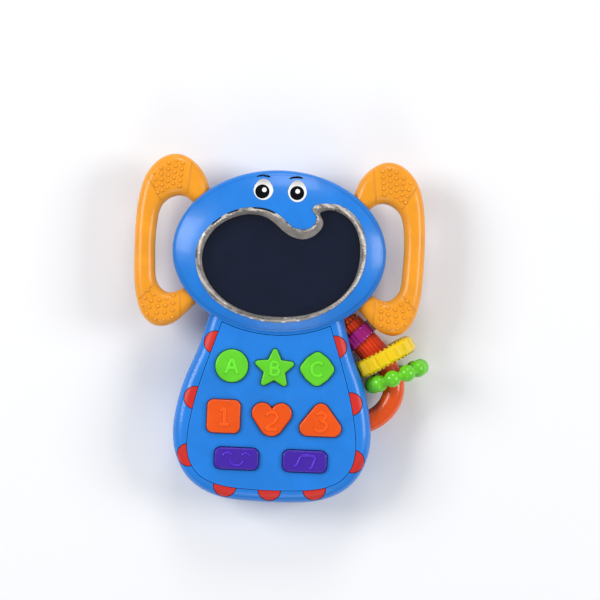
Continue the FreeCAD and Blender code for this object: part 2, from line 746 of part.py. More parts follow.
def small_screws(places, z_seat, depth):
    """Pan-head screws, each with a cross recess."""
    screws = []
    for x, y in places:
        screw = post(x, y, 0.8, z_seat - depth, z_seat).fuse(post(x, y, 1.8, z_seat, z_seat + 1.0))
        for wide, deep in ((1.1, 0.2), (0.2, 1.1)):
            screw = screw.cut(box(x - wide, x + wide, y - deep, y + deep, z_seat + 0.5, z_seat + 2.0))
        screws.append(screw.removeSplitter())
    return screws


def board_screws():
    lamp_seat = LAMP_BOARD_Z + LAMP_BOARD_T
    screws = small_screws(BOARD_SCREWS, PCB_TOP_Z, PCB_TOP_Z - PCB_LOW_Z + 4.0)
    screws += small_screws(LAMP_SCREWS, lamp_seat, LAMP_BOARD_T + 4.0)
    return Part.makeCompound(screws)


def case_screws():
    screws = []
    for x, y in case_screw_places():
        reach = PART_Z + 3.0
        shank = post(x, y, CASE_SCREW_R, CASE_HEAD_Z - 1.0, reach)
        head = post(x, y, CASE_HEAD_R, CASE_HEAD_Z - 1.8, CASE_HEAD_Z)
        screw = shank.fuse(head)
        for wide, deep in ((1.5, 0.3), (0.3, 1.5)):
            screw = screw.cut(box(x - wide, x + wide, y - deep, y + deep, 0.0, CASE_HEAD_Z - 0.8))
        screws.append(screw.removeSplitter())
    return Part.makeCompound(screws)


# ---------------------------------------------------------------- ears
def ear():
    """Right ear: rounded slab with a rounded finger loop, ending inside the head."""
    low = EAR_Z - EAR_T / 2
    high = EAR_Z + EAR_T / 2
    outer = prism(closed_wire(EAR_OUTER + EAR_OUTER_INSIDE, low), high)
    outer = outer.makeFillet(EAR_ROUND, edges_at(outer, low) + edges_at(outer, high))
    plate = box(0.0, 80.0, -20.0, 90.0, low, high)
    plate = plate.cut(prism(closed_wire(EAR_INNER + EAR_INNER_INSIDE, low), high))
    plate = plate.makeFillet(EAR_ROUND, curved_edges_at(plate, low) + curved_edges_at(plate, high))
    return outer.common(plate).cut(prism(head_wire(EAR_BITE, low - 1.0), high + 1.0))


# ---------------------------------------------------------------- ring holder
def bend_centre():
    end = bar_point(BAR_STRAIGHT)
    side = bar_direction().cross(UP)
    return end + side * BEND_R


def bend_point(share):
    """Point on the tighter bend; share 0 is its start."""
    start = math.radians(BAR_ANGLE + 90)
    turn = start - math.radians(BEND_TURN) * share
    return bend_centre() + Vector(math.cos(turn), math.sin(turn), 0) * BEND_R


def return_centre():
    turn = math.radians(BAR_ANGLE + 90 - BEND_TURN)
    return bend_centre() - Vector(math.cos(turn), math.sin(turn), 0) * (RETURN_R - BEND_R)


def return_turn(share):
    return math.radians(BAR_ANGLE + 90 - BEND_TURN - RETURN_TURN * share)


def return_point(share):
    turn = return_turn(share)
    return return_centre() + Vector(math.cos(turn), math.sin(turn), 0) * RETURN_R


def return_direction(share):
    turn = return_turn(share)
    return Vector(math.sin(turn), -math.cos(turn), 0)


def ring_holder():
    start = bar_point(-BAR_ROOT)
    path = Part.Wire([
        Part.LineSegment(start, bar_point(BAR_STRAIGHT)).toShape(),
        Part.Arc(bar_point(BAR_STRAIGHT), bend_point(0.5), bend_point(1.0)).toShape(),
        Part.Arc(bend_point(1.0), return_point(0.5), return_point(1.0)).toShape()])
    section = Part.Wire([Part.Circle(start, bar_direction(), BAR_R).toShape()])
    return path.makePipeShell([section], True, True)


def click_collar():
    """Toothed detent ring fixed on the bar beside the barrel."""
    length = COLLAR_TO - COLLAR_FROM
    ring = Part.makeCylinder(COLLAR_R - 0.6, length)
    teeth = []
    for i in range(COLLAR_TEETH):
        turn = 2 * math.pi * i / COLLAR_TEETH
        place = Vector(math.cos(turn), math.sin(turn), 0) * (COLLAR_R - 0.7)
        teeth.append(Part.makeCylinder(0.7, length, place, UP))
    ring = ring.fuse(teeth).removeSplitter().cut(Part.makeCylinder(BAR_R, length))
    return on_axis(ring, bar_point(COLLAR_FROM), bar_direction())


def click_barrel():
    """Ribbed sleeve that twists on the bar."""
    length = BARREL_TO - BARREL_FROM
    ribs = []
    for i in range(BARREL_RIBS):
        turn = 2 * math.pi * i / BARREL_RIBS
        place = Vector(math.cos(turn), math.sin(turn), 0) * BARREL_RIB_AT
        ribs.append(Part.makeCylinder(BARREL_RIB_R, length, place, UP))
    sleeve = Part.makeCylinder(BARREL_CORE_R, length).fuse(ribs).removeSplitter()
    sleeve = sleeve.cut(Part.makeCylinder(BAR_R + RUNNING_GAP, length))
    return on_axis(sleeve, bar_point(BARREL_FROM), bar_direction())


def purple_ring():
    """Scalloped ring that slips over the barrel."""
    low = Vector(0, 0, -PURPLE_T / 2)
    lobes = []
    for i in range(PURPLE_LOBES):
        turn = 2 * math.pi * i / PURPLE_LOBES
        place = Vector(math.cos(turn), math.sin(turn), 0) * PURPLE_LOBE_AT + low
        lobes.append(Part.makeCylinder(PURPLE_LOBE_R, PURPLE_T, place, UP))
    ring = Part.makeCylinder(PURPLE_CORE_R, PURPLE_T, low, UP).fuse(lobes).removeSplitter()
    ring = ring.makeFillet(0.7, edges_at(ring, -PURPLE_T / 2, 0.0) + edges_at(ring, PURPLE_T / 2, 0.0))
    ring = ring.cut(Part.makeCylinder(PURPLE_BORE_R, PURPLE_T + 2, low + low * 0.1 - UP * 0.5, UP))
    return on_axis(ring, bar_point(PURPLE_AT), bar_direction())


def ring_axis(plane_angle):
    """Axis of a ring whose plane runs at plane_angle in plan."""
    turn = math.radians(plane_angle - 90)
    return Vector(math.cos(turn), math.sin(turn), 0)


def yellow_ring():
    """Wide ring with fluted rim and fine crown teeth on both faces."""
    half = YELLOW_T / 2 - YELLOW_TOOTH
    soft = 0.9
    loop = [(YELLOW_BORE_R, -half), (YELLOW_R - soft, -half), (YELLOW_R, -half + soft)]
    loop += [(YELLOW_R, half - soft), (YELLOW_R - soft, half), (YELLOW_BORE_R, half)]
    ring = revolve(loop, 0.0, 0.0)
    flutes = []
    for i in range(YELLOW_FLUTES):
        turn = 2 * math.pi * i / YELLOW_FLUTES
        place = Vector(math.cos(turn), math.sin(turn), 0) * (YELLOW_R + 0.55) - UP * YELLOW_T
        flutes.append(Part.makeCylinder(1.0, 2 * YELLOW_T, place, UP))
    ring = ring.cut(flutes)
    teeth = []
    for i in range(YELLOW_TEETH):
        tooth = Part.makeBox(1.9, 0.8, YELLOW_T, Vector(YELLOW_BORE_R + 0.5, -0.4, -YELLOW_T / 2))
        tooth.rotate(Vector(0, 0, 0), UP, 360.0 * (i + 0.5) / YELLOW_TEETH)
        teeth.append(tooth)
    ring = ring.fuse(teeth).removeSplitter()
    return on_axis(ring, YELLOW_CENTRE, ring_axis(YELLOW_PLANE))


def green_bead_ring():
    """Bead ring: round beads on a thin link."""
    beads = []
    for i in range(GREEN_BEADS):
        turn = 2 * math.pi * (i + 0.5) / GREEN_BEADS
        beads.append(Part.makeSphere(GREEN_BEAD_R, Vector(math.cos(turn), math.sin(turn), 0) * GREEN_BEAD_AT))
    link = Part.makeTorus(GREEN_BEAD_AT, GREEN_LINK_R)
    ring = link.fuse(beads).removeSplitter()
    return on_axis(ring, GREEN_CENTRE, ring_axis(GREEN_PLANE))


# ---------------------------------------------------------------- batteries, speaker, switch
def door_screw_hole():
    x, y = DOOR_SCREW_AT
    return post(x, y, 0.9, 0.0, 7.0)


def battery_door():
    """Flat door with a screw ear at the top edge and finger ribs."""
    x, y = DOOR_SCREW_AT
    door = door_plate(0.0, 0.0).fuse(post(x, y, DOOR_EAR_R, 0.0, DOOR_T))
    ribs = []
    for i in range(5):
        rib_y = BAY_Y[1] + 4.0 + i * 1.8
        ribs.append(box(-7.0, 7.0, rib_y, rib_y + 0.8, -1.0, 0.5))
    door = cut(door, ribs)
    return cut(door, [post(x, y, 1.3, -1.0, 3.0), post(x, y, 2.3, -1.0, 0.9)])


def door_screw():
    """Short captive screw that stays in the door."""
    x, y = DOOR_SCREW_AT
    screw = post(x, y, 0.85, 0.9, 6.0).fuse(post(x, y, 2.1, 0.1, 0.9))
    for wide, deep in ((1.3, 0.25), (0.25, 1.3)):
        screw = screw.cut(box(x - wide, x + wide, y - deep, y + deep, 0.0, 0.5))
    return screw


def battery_cell(y):
    """Cell with its raised positive end."""
    can = Part.makeCylinder(CELL_R, CELL_LENGTH - 1.0, Vector(-CELL_LENGTH / 2, y, CELL_Z), Vector(1, 0, 0))
    can = can.makeFillet(0.6, [e for e in can.Edges if isinstance(e.Curve, Part.Circle)])
    nub = Part.makeCylinder(1.9, 1.0, Vector(CELL_LENGTH / 2 - 1.0, y, CELL_Z), Vector(1, 0, 0))
    return can.fuse(nub).removeSplitter()


def contact_plates():
    plates = []
    for y in CELL_Y:
        for x in (-BAY_X + 0.1, BAY_X - 0.5):
            plates.append(box(x, x + 0.4, y - 4.2, y + 4.2, 3.6, 12.4))
    return Part.makeCompound(plates)


def contact_springs():
    """Coil springs at the flat end of each cell, as wound cones of wire."""
    springs = []
    wire_r = 0.3
    length = BAY_X - 0.5 - CELL_LENGTH / 2
    for y in CELL_Y:
        rings = []
        for i in range(3):
            x = -BAY_X + 0.5 + wire_r + i * (length - 2 * wire_r) / 2
            rings.append(Part.makeTorus(2.9 - 0.5 * i, wire_r, Vector(x, y, CELL_Z), Vector(1, 0, 0)))
        for i in range(2):
            x = -BAY_X + 0.5 + wire_r + i * (length - 2 * wire_r) / 2
            reach = Vector((length - 2 * wire_r) / 2, 0, -0.5)
            start = Vector(x, y, CELL_Z + 2.9 - 0.5 * i)
            rings.append(Part.makeCylinder(wire_r, reach.Length, start, reach))
        springs.append(join(rings))
    return Part.makeCompound(springs)


def speaker_basket():
    profile = [(SPEAKER_R, 2.1), (SPEAKER_R, 3.3), (9.3, 6.4), (6.5, 6.4), (6.5, 5.8), (8.7, 5.8),
               (12.3, 3.3), (12.3, 2.1)]
    return revolve(profile, *SPEAKER_AT)


def speaker_cone():
    profile = [(12.2, 2.6), (12.2, 3.0), (4.0, 5.3), (0.0, 4.5), (0.0, 4.1), (4.0, 4.8)]
    return revolve(profile, *SPEAKER_AT)


def speaker_magnet():
    x, y = SPEAKER_AT
    return post(x, y, 8.2, 6.4, 9.6).fuse(post(x, y, 6.4, 5.9, 6.4)).removeSplitter()


def switch_knob():
    """Slide knob, at the off end of its travel."""
    x, y = SWITCH_AT
    start = x - SWITCH_TRAVEL / 2
    grip = box(start - 3.6, start + 3.6, y - 3.4, y + 3.4, 0.7, SWITCH_FLOOR_Z - 0.2)
    for i in range(-2, 3):
        groove = start + i * 1.3
        grip = grip.cut(box(groove - 0.3, groove + 0.3, y - 4.0, y + 4.0, 0.0, 1.2))
    stem = box(start - 2.2, start + 2.2, y - 1.5, y + 1.5, SWITCH_FLOOR_Z - 0.2, 7.0)
    return grip.fuse(stem).removeSplitter()


def switch_body():
    x, y = SWITCH_AT
    body = box(x - 7.0, x + 7.0, y - 3.5, y + 3.5, SWITCH_BLOCK_Z, 9.0)
    return body.cut(box(x - 4.6, x + 4.6, y - 1.8, y + 1.8, 0.0, 7.4))


# ---------------------------------------------------------------- the whole toy
def main():
    os.makedirs("parts", exist_ok=True)
    body_outer = body_front_outer()
    accents = accent_ring(body_outer)
    right_ear = ear()
    left_ear = right_ear.mirror(Vector(0, 0, 0), Vector(1, 0, 0))
    ears = [right_ear, left_ear]
    holder = ring_holder()
    save(right_ear, "right_ear")
    save(left_ear, "left_ear")
    save(accents, "accent_ring")
    save(holder, "ring_holder")
    save(front_shell(body_outer, accents, ears), "front_shell")
    save(rear_shell(holder, ears), "rear_shell")
    save(screen_lens(), "screen_lens")
    save(lenticular_card(), "lenticular_card")
    save(light_tray(), "light_tray")
    save(lamp_board(), "lamp_board")
    save(lamps(), "lamps")
    save(keypad_panel(), "keypad_panel")
    for node, (outline, centre) in KEYS.items():
        save(key_cap(outline, centre), node)
        save(key_dome(centre), node.replace("key", "dome"))
    save(rubber_mat(), "rubber_mat")
    save(keypad_board(), "keypad_board")
    save(contact_pads(), "contact_pads")
    save(chip_blob(), "chip_blob")
    save(board_screws(), "board_screws")
    save(case_screws(), "case_screws")
    save(click_collar(), "click_collar")
    save(click_barrel(), "click_barrel")
    save(purple_ring(), "purple_ring")
    save(yellow_ring(), "yellow_ring")
    save(green_bead_ring(), "green_bead_ring")
    save(battery_door(), "battery_door")
    save(door_screw(), "door_screw")
    save(battery_cell(CELL_Y[0]), "battery_upper")
    save(battery_cell(CELL_Y[1]), "battery_lower")
    save(contact_plates(), "contact_plates")
    save(contact_springs(), "contact_springs")
    save(speaker_basket(), "speaker_basket")
    save(speaker_cone(), "speaker_cone")
    save(speaker_magnet(), "speaker_magnet")
    save(switch_knob(), "switch_knob")
    save(switch_body(), "switch_body")


main()
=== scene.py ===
"""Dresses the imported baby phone: plastics, prints, raised marks and teething texture.

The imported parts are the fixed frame. Everything here is in metres, in the same frame: the toy
lies on its back, +Z points out of the face and +Y to the top of the head.
"""
import json
import logging
import math
from dataclasses import dataclass
from enum import Enum

import bmesh
import bpy
from mathutils import Matrix, Vector


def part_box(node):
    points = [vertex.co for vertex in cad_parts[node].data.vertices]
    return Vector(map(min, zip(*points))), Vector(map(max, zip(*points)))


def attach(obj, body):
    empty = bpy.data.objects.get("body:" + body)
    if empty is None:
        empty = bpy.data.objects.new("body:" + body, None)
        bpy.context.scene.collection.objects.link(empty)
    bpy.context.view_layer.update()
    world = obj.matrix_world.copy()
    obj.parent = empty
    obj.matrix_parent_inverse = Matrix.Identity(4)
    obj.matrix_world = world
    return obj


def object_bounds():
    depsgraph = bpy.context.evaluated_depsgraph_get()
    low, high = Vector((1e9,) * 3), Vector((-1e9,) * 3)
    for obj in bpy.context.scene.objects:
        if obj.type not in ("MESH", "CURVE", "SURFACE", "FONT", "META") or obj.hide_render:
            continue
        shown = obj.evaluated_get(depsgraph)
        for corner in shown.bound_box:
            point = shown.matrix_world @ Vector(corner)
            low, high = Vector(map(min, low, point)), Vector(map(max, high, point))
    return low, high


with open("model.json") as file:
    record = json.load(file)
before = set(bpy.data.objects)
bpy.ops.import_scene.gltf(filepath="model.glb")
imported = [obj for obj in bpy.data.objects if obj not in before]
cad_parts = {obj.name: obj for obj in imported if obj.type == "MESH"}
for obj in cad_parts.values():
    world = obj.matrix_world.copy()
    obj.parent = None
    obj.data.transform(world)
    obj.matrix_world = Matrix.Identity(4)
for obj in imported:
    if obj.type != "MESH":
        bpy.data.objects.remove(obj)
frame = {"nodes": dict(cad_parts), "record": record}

MM = 0.001
CAD_BOX = [list(corner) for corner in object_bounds()]
LOG = logging.getLogger("baby_phone")

Colour = tuple[float, float, float]
Place = tuple[float, float]

ABOVE = 0.06                     # metres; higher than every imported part
RAY_START = 0.1                  # metres; where rays start down from


# ---------------------------------------------------------------- colour and node helpers
def tone(red: int, green: int, blue: int) -> Colour:
    """Linear colour of an 8-bit display colour.

    Args:
        red: Display red, 0 to 255.
        green: Display green, 0 to 255.
        blue: Display blue, 0 to 255.

    Returns:
        The linear red, green and blue.
    """
    return tuple((v / 12.92 if v <= 0.04045 else ((v + 0.055) / 1.055) ** 2.4)
                 for v in (red / 255, green / 255, blue / 255))


def shade(colour: Colour, factor: float) -> Colour:
    """Colour made darker or lighter by a factor."""
    return tuple(min(1.0, v * factor) for v in colour)


class Tree:
    """Short way to add and join shader nodes in one node tree."""

    def __init__(self, tree: bpy.types.NodeTree) -> None:
        """Keep the tree that the nodes go into."""
        self.tree = tree

    def add(self, kind: str, **settings: object) -> bpy.types.Node:
        """Add a node.

        Args:
            kind: Node type without its ShaderNode prefix.
            **settings: Node properties; a name with a capital is an input socket.

        Returns:
            The new node.
        """
        prefix = "" if kind.startswith("Node") else "ShaderNode"
        node = self.tree.nodes.new(prefix + kind)
        for name, value in settings.items():
            if name[0].isupper():
                node.inputs[name.replace("_", " ")].default_value = value
            else:
                setattr(node, name, value)
        return node

    def join(self, out: bpy.types.NodeSocket, into: bpy.types.NodeSocket) -> None:
        """Join an output to an input."""
        self.tree.links.new(out, into)

    def maths(self, operation: str, first: object, second: object = None) -> bpy.types.NodeSocket:
        """Add a Math node.

        Args:
            operation: Name of the operation.
            first: Socket or number for the first input.
            second: Socket or number for the second input.

        Returns:
            The value socket.
        """
        node = self.add("Math", operation=operation)
        for socket, value in zip(node.inputs, (first, second)):
            if isinstance(value, bpy.types.NodeSocket):
                self.join(value, socket)
            elif value is not None:
                socket.default_value = value
        return node.outputs[0]

    def mix(self, mask: object, low: object, high: object) -> bpy.types.NodeSocket:
        """Blend two colours by a mask.

        Args:
            mask: Socket or number.
            low: Socket or colour where the mask is 0.
            high: Socket or colour where the mask is 1.

        Returns:
            The colour socket.
        """
        node = self.add("Mix", data_type="RGBA")
        for socket, value in ((node.inputs[0], mask), (node.inputs[6], low), (node.inputs[7], high)):
            if isinstance(value, bpy.types.NodeSocket):
                self.join(value, socket)
            elif isinstance(value, tuple):
                socket.default_value = (*value, 1.0)
            else:
                socket.default_value = value
        return node.outputs[2]

    def remap(self, value: bpy.types.NodeSocket, low: float, high: float) -> bpy.types.NodeSocket:
        """Stretch a value so that low becomes 0 and high becomes 1, clamped.

        Args:
            value: The value socket.
            low: Value that becomes 0.
            high: Value that becomes 1.

        Returns:
            The stretched value's socket.
        """
        node = self.add("MapRange", From_Min=low, From_Max=high)
        self.join(value, node.inputs["Value"])
        return node.outputs["Result"]


def new_group(name: str, inputs: dict[str, float],
              outputs: dict[str, str]) -> tuple[Tree, bpy.types.Node, bpy.types.Node]:
    """Start a shared node group.

    Args:
        name: Name of the group.
        inputs: Float inputs and their usual values.
        outputs: Output names and their socket types.

    Returns:
        The tree helper, the group's input node and its output node.
    """
    group = bpy.data.node_groups.new(name, "ShaderNodeTree")
    for label, value in inputs.items():
        socket = group.interface.new_socket(label, in_out="INPUT", socket_type="NodeSocketFloat")
        socket.default_value = value
    for label, kind in outputs.items():
        group.interface.new_socket(label, in_out="OUTPUT", socket_type=kind)
    tree = Tree(group)
    return tree, tree.add("NodeGroupInput"), tree.add("NodeGroupOutput")


def make_mould_grain() -> bpy.types.NodeTree:
    """Fine texture and slow mottle that an injection mould leaves.

    Returns:
        A group with a Height for bump, a Mottle from 0 to 1 and a Haze of handling marks.
    """
    tree, given, result = new_group("mould_grain", {"Grain Size": 0.4, "Mottle Size": 12.0},
                                    {"Height": "NodeSocketFloat", "Mottle": "NodeSocketFloat",
                                     "Haze": "NodeSocketFloat"})
    place = tree.add("TexCoord").outputs["Object"]
    grain = tree.add("TexNoise", Detail=3.0, Roughness=0.6)
    mottle = tree.add("TexNoise", Detail=2.0, Roughness=0.5, Distortion=0.6)
    haze = tree.add("TexNoise", Scale=160.0, Detail=5.0, Roughness=0.7)
    for texture, label in ((grain, "Grain Size"), (mottle, "Mottle Size")):
        tree.join(place, texture.inputs["Vector"])
        tree.join(tree.maths("DIVIDE", 1.0 / MM, given.outputs[label]), texture.inputs["Scale"])
    tree.join(place, haze.inputs["Vector"])
    tree.join(grain.outputs["Fac"], result.inputs["Height"])
    tree.join(tree.remap(mottle.outputs["Fac"], 0.3, 0.7), result.inputs["Mottle"])
    tree.join(tree.remap(haze.outputs["Fac"], 0.52, 0.72), result.inputs["Haze"])
    return tree.tree


def make_edge_highlight_and_corner_shade() -> bpy.types.NodeTree:
    """Masks for painted highlight on thin edges and for painted shade in corners and gaps.

    Returns:
        A group with an edge mask for painted highlight and a corner mask for painted shade, both from 0 to
        1.
    """
    tree, given, result = new_group("edge_highlight_and_corner_shade", {"Width": 0.4, "Depth": 1.5},
                                    {"Edge Highlight": "NodeSocketFloat", "Corner Shade": "NodeSocketFloat"})
    # Edge mask: thin convex edges, where a bevelled normal turns from the plain one; it lightens the colour
    # as a painted highlight.
    soft = tree.add("Bevel", samples=6)
    tree.join(tree.maths("MULTIPLY", given.outputs["Width"], MM), soft.inputs["Radius"])
    plain = tree.add("NewGeometry")
    turn = tree.add("VectorMath", operation="DOT_PRODUCT")
    tree.join(soft.outputs["Normal"], turn.inputs[0])
    tree.join(plain.outputs["Normal"], turn.inputs[1])
    bend = tree.remap(tree.maths("SUBTRACT", 1.0, turn.outputs["Value"]), 0.004, 0.12)
    # Corner mask: ambient occlusion, which darkens the colour in corners and gaps as a painted shade.
    gap = tree.add("AmbientOcclusion", samples=8)
    tree.join(tree.maths("MULTIPLY", given.outputs["Depth"], MM), gap.inputs["Distance"])
    open_share = tree.remap(gap.outputs["AO"], 0.35, 0.9)
    tree.join(tree.maths("MULTIPLY", bend, open_share), result.inputs["Edge Highlight"])
    tree.join(tree.maths("SUBTRACT", 1.0, open_share), result.inputs["Corner Shade"])
    return tree.tree


# ---------------------------------------------------------------- finishes
@dataclass(frozen=True)
class Groups:
    """Shared node groups that the finishes place in their materials."""

    grain: bpy.types.NodeTree
    edges: bpy.types.NodeTree


@dataclass(frozen=True)
class Finish:
    """A finish that is made into one material."""

    name: str

    def build(self, groups: Groups) -> bpy.types.Material:
        """Make the material.

        Args:
            groups: The shared node groups.

        Returns:
            The finished material.
        """
        material, tree, shader = start_material(self.name)
        self.paint(tree, shader, groups)
        return material

    def paint(self, tree: Tree, shader: bpy.types.Node, groups: Groups) -> None:
        """Add the finish's nodes.

        Args:
            tree: The material's tree helper.
            shader: Its Principled BSDF.
            groups: The shared node groups.
        """
        raise NotImplementedError


@dataclass(frozen=True)
class Moulded(Finish):
    """Injection-moulded plastic, rubber or similar solid colour with mottle, painted highlight on thin
    edges and painted shade in corners.
    """

    colour: Colour
    roughness: float = 0.3
    coat: float = 0.0
    glow: float = 0.0            # share of light that scatters under the skin
    edge_highlight: float = 1.25      # brightness of the painted highlight on thin edges over the colour
    deep: float = 0.55           # brightness of the painted shade in corners and gaps over the colour
    mottle: float = 0.06         # slow change of colour over the part
    grain_size: float = 0.35     # millimetres
    grain_height: float = 0.012  # millimetres
    metallic: float = 0.0
    shine: float = 0.35          # strength of the plain reflection

    def paint(self, tree: Tree, shader: bpy.types.Node, groups: Groups) -> None:
        """Add this finish's nodes, as Finish.paint says."""
        grain = place_group(tree, groups.grain, Grain_Size=self.grain_size, Mottle_Size=11.0)
        edges = place_group(tree, groups.edges, Width=0.45, Depth=1.6)
        base = tree.mix(grain.outputs["Mottle"], shade(self.colour, 1.0 - self.mottle),
                        shade(self.colour, 1.0 + self.mottle))
        # Painted highlight on thin edges, then painted shade in corners and gaps, mixed into the base
        # colour.
        base = tree.mix(edges.outputs["Edge Highlight"], base, shade(self.colour, self.edge_highlight))
        base = tree.mix(edges.outputs["Corner Shade"], base, shade(self.colour, self.deep))
        tree.join(base, shader.inputs["Base Color"])
        roughen(tree, shader, grain, self.roughness, 0.1)
        add_bump(tree, shader, grain.outputs["Height"], self.grain_height)
        shader.inputs["Coat Weight"].default_value = self.coat
        shader.inputs["Coat Roughness"].default_value = 0.08
        shader.inputs["Subsurface Weight"].default_value = self.glow
        shader.inputs["Subsurface Radius"].default_value = (1.0, 0.6, 0.3)
        shader.inputs["Subsurface Scale"].default_value = 1.5 * MM
        shader.inputs["Metallic"].default_value = self.metallic
        shader.inputs["Specular IOR Level"].default_value = self.shine


@dataclass(frozen=True)
class ClearPlastic(Finish):
    """Clear window over a dark card: a glossy skin that lets the card show through."""

    tint: Colour
    body: float = 0.4            # how much the skin itself shows
    roughness: float = 0.06

    def paint(self, tree: Tree, shader: bpy.types.Node, groups: Groups) -> None:
        """Add this finish's nodes, as Finish.paint says."""
        grain = place_group(tree, groups.grain, Grain_Size=1.4, Mottle_Size=6.0)
        tree.join(tree.mix(grain.outputs["Mottle"], shade(self.tint, 0.9), shade(self.tint, 1.1)),
                  shader.inputs["Base Color"])
        roughen(tree, shader, grain, self.roughness, 0.05)
        add_bump(tree, shader, grain.outputs["Height"], 0.001)
        shader.inputs["Alpha"].default_value = self.body
        shader.inputs["IOR"].default_value = 1.49


@dataclass(frozen=True)
class RibbedCard(Finish):
    """Dark picture card under a sheet of fine upright ribs."""

    colour: Colour
    rib_pitch: float = 0.42      # millimetres

    def paint(self, tree: Tree, shader: bpy.types.Node, groups: Groups) -> None:
        """Add this finish's nodes, as Finish.paint says."""
        grain = place_group(tree, groups.grain, Grain_Size=0.25, Mottle_Size=14.0)
        ribs = tree.add("TexWave", wave_type="BANDS", bands_direction="X", wave_profile="SIN",
                        Scale=math.tau / (20.0 * self.rib_pitch * MM), Distortion=0.0)
        tree.join(tree.add("TexCoord").outputs["Object"], ribs.inputs["Vector"])
        base = tree.mix(grain.outputs["Mottle"], shade(self.colour, 0.97), shade(self.colour, 1.04))
        # The rib crests are painted 4 percent lighter than the card, on the same wave as the bump: a
        # painted sheen on the ribs.
        base = tree.mix(ribs.outputs["Fac"], base, shade(self.colour, 1.04))
        tree.join(base, shader.inputs["Base Color"])
        roughen(tree, shader, grain, 0.5, 0.08)
        add_bump(tree, shader, ribs.outputs["Fac"], 0.001)
        shader.inputs["Specular IOR Level"].default_value = 0.25


@dataclass(frozen=True)
class CircuitBoard(Finish):
    """Board with a solder mask, paler copper runs under it and a woven core."""

    mask: Colour
    run: Colour
    pitch: float = 2.1           # millimetres between runs

    def paint(self, tree: Tree, shader: bpy.types.Node, groups: Groups) -> None:
        """Add this finish's nodes, as Finish.paint says."""
        grain = place_group(tree, groups.grain, Grain_Size=0.2, Mottle_Size=9.0)
        runs = tree.add("TexBrick", offset=0.37, squash=1.0, Scale=1.0 / (self.pitch * MM),
                        Mortar_Size=0.06, Mortar_Smooth=0.1, Brick_Width=2.6, Row_Height=0.5)
        tree.join(tree.add("TexCoord").outputs["Object"], runs.inputs["Vector"])
        base = tree.mix(grain.outputs["Mottle"], shade(self.mask, 0.9), shade(self.mask, 1.1))
        base = tree.mix(runs.outputs["Fac"], base, self.run)
        tree.join(base, shader.inputs["Base Color"])
        shader.inputs["Roughness"].default_value = 0.38
        add_bump(tree, shader, runs.outputs["Fac"], 0.02)


@dataclass(frozen=True)
class CellJacket(Finish):
    """Printed battery sleeve: a dark band and a pale one round the plus end."""

    body: Colour
    band: Colour
    band_from_x: float           # metres; the band lies beyond this place along X

    def paint(self, tree: Tree, shader: bpy.types.Node, groups: Groups) -> None:
        """Add this finish's nodes, as Finish.paint says."""
        grain = place_group(tree, groups.grain, Grain_Size=0.3, Mottle_Size=7.0)
        axes = tree.add("SeparateXYZ")
        tree.join(tree.add("TexCoord").outputs["Object"], axes.inputs[0])
        band = tree.maths("GREATER_THAN", axes.outputs["X"], self.band_from_x)
        base = tree.mix(grain.outputs["Mottle"], shade(self.body, 0.92), shade(self.body, 1.08))
        tree.join(tree.mix(band, base, self.band), shader.inputs["Base Color"])
        roughen(tree, shader, grain, 0.32, 0.15)
        add_bump(tree, shader, grain.outputs["Height"], 0.004)
        shader.inputs["Metallic"].default_value = 0.35


@dataclass(frozen=True)
class PaintedRimReflection(Finish):
    """Slope of the clear window as it shows from outside, painted as a reflection: grey with fine bright
    and dark lines.
    """

    light: Colour
    dark: Colour
    line_pitch: float = 0.75     # millimetres of height between lines

    def paint(self, tree: Tree, shader: bpy.types.Node, groups: Groups) -> None:
        """Add this finish's nodes, as Finish.paint says."""
        grain = place_group(tree, groups.grain, Grain_Size=1.2, Mottle_Size=4.0)
        lines = tree.add("TexWave", wave_type="BANDS", bands_direction="Z", wave_profile="SIN",
                         Scale=math.tau / (20.0 * self.line_pitch * MM), Distortion=0.4)
        tree.join(tree.add("TexCoord").outputs["Object"], lines.inputs["Vector"])
        # The grey, its bright and dark lines and its lighter patches are a painted reflection of the clear
        # plastic slope.
        base = tree.mix(lines.outputs["Fac"], self.dark, self.light)
        base = tree.mix(tree.maths("MULTIPLY", grain.outputs["Mottle"], 0.5), base, shade(self.light, 1.3))
        tree.join(base, shader.inputs["Base Color"])
        roughen(tree, shader, grain, 0.34, 0.06)
        add_bump(tree, shader, grain.outputs["Height"], 0.002)
        shader.inputs["Metallic"].default_value = 0.2
        shader.inputs["Specular IOR Level"].default_value = 0.4


@dataclass(frozen=True)
class EyeWhite(Finish):
    """White print that is shaded grey under the brow."""

    white: Colour
    shadow: Colour
    shade_from_y: float = 0.0583  # metres up the face, where the shading starts
    shade_to_y: float = 0.0613

    def paint(self, tree: Tree, shader: bpy.types.Node, groups: Groups) -> None:
        """Add this finish's nodes, as Finish.paint says."""
        grain = place_group(tree, groups.grain, Grain_Size=0.3, Mottle_Size=3.0)
        axes = tree.add("SeparateXYZ")
        tree.join(tree.add("TexCoord").outputs["Object"], axes.inputs[0])
        mask = tree.remap(axes.outputs["Y"], self.shade_from_y, self.shade_to_y)
        base = tree.mix(grain.outputs["Mottle"], shade(self.white, 0.97), self.white)
        tree.join(tree.mix(mask, base, self.shadow), shader.inputs["Base Color"])
        roughen(tree, shader, grain, 0.4, 0.1)
        add_bump(tree, shader, grain.outputs["Height"], 0.003)


def start_material(name: str) -> tuple[bpy.types.Material, Tree, bpy.types.Node]:
    """Start a node material.

    Args:
        name: Name of the material.

    Returns:
        The material, its tree helper and its Principled BSDF.
    """
    material = bpy.data.materials.new(name)
    material.use_nodes = True
    return material, Tree(material.node_tree), material.node_tree.nodes["Principled BSDF"]


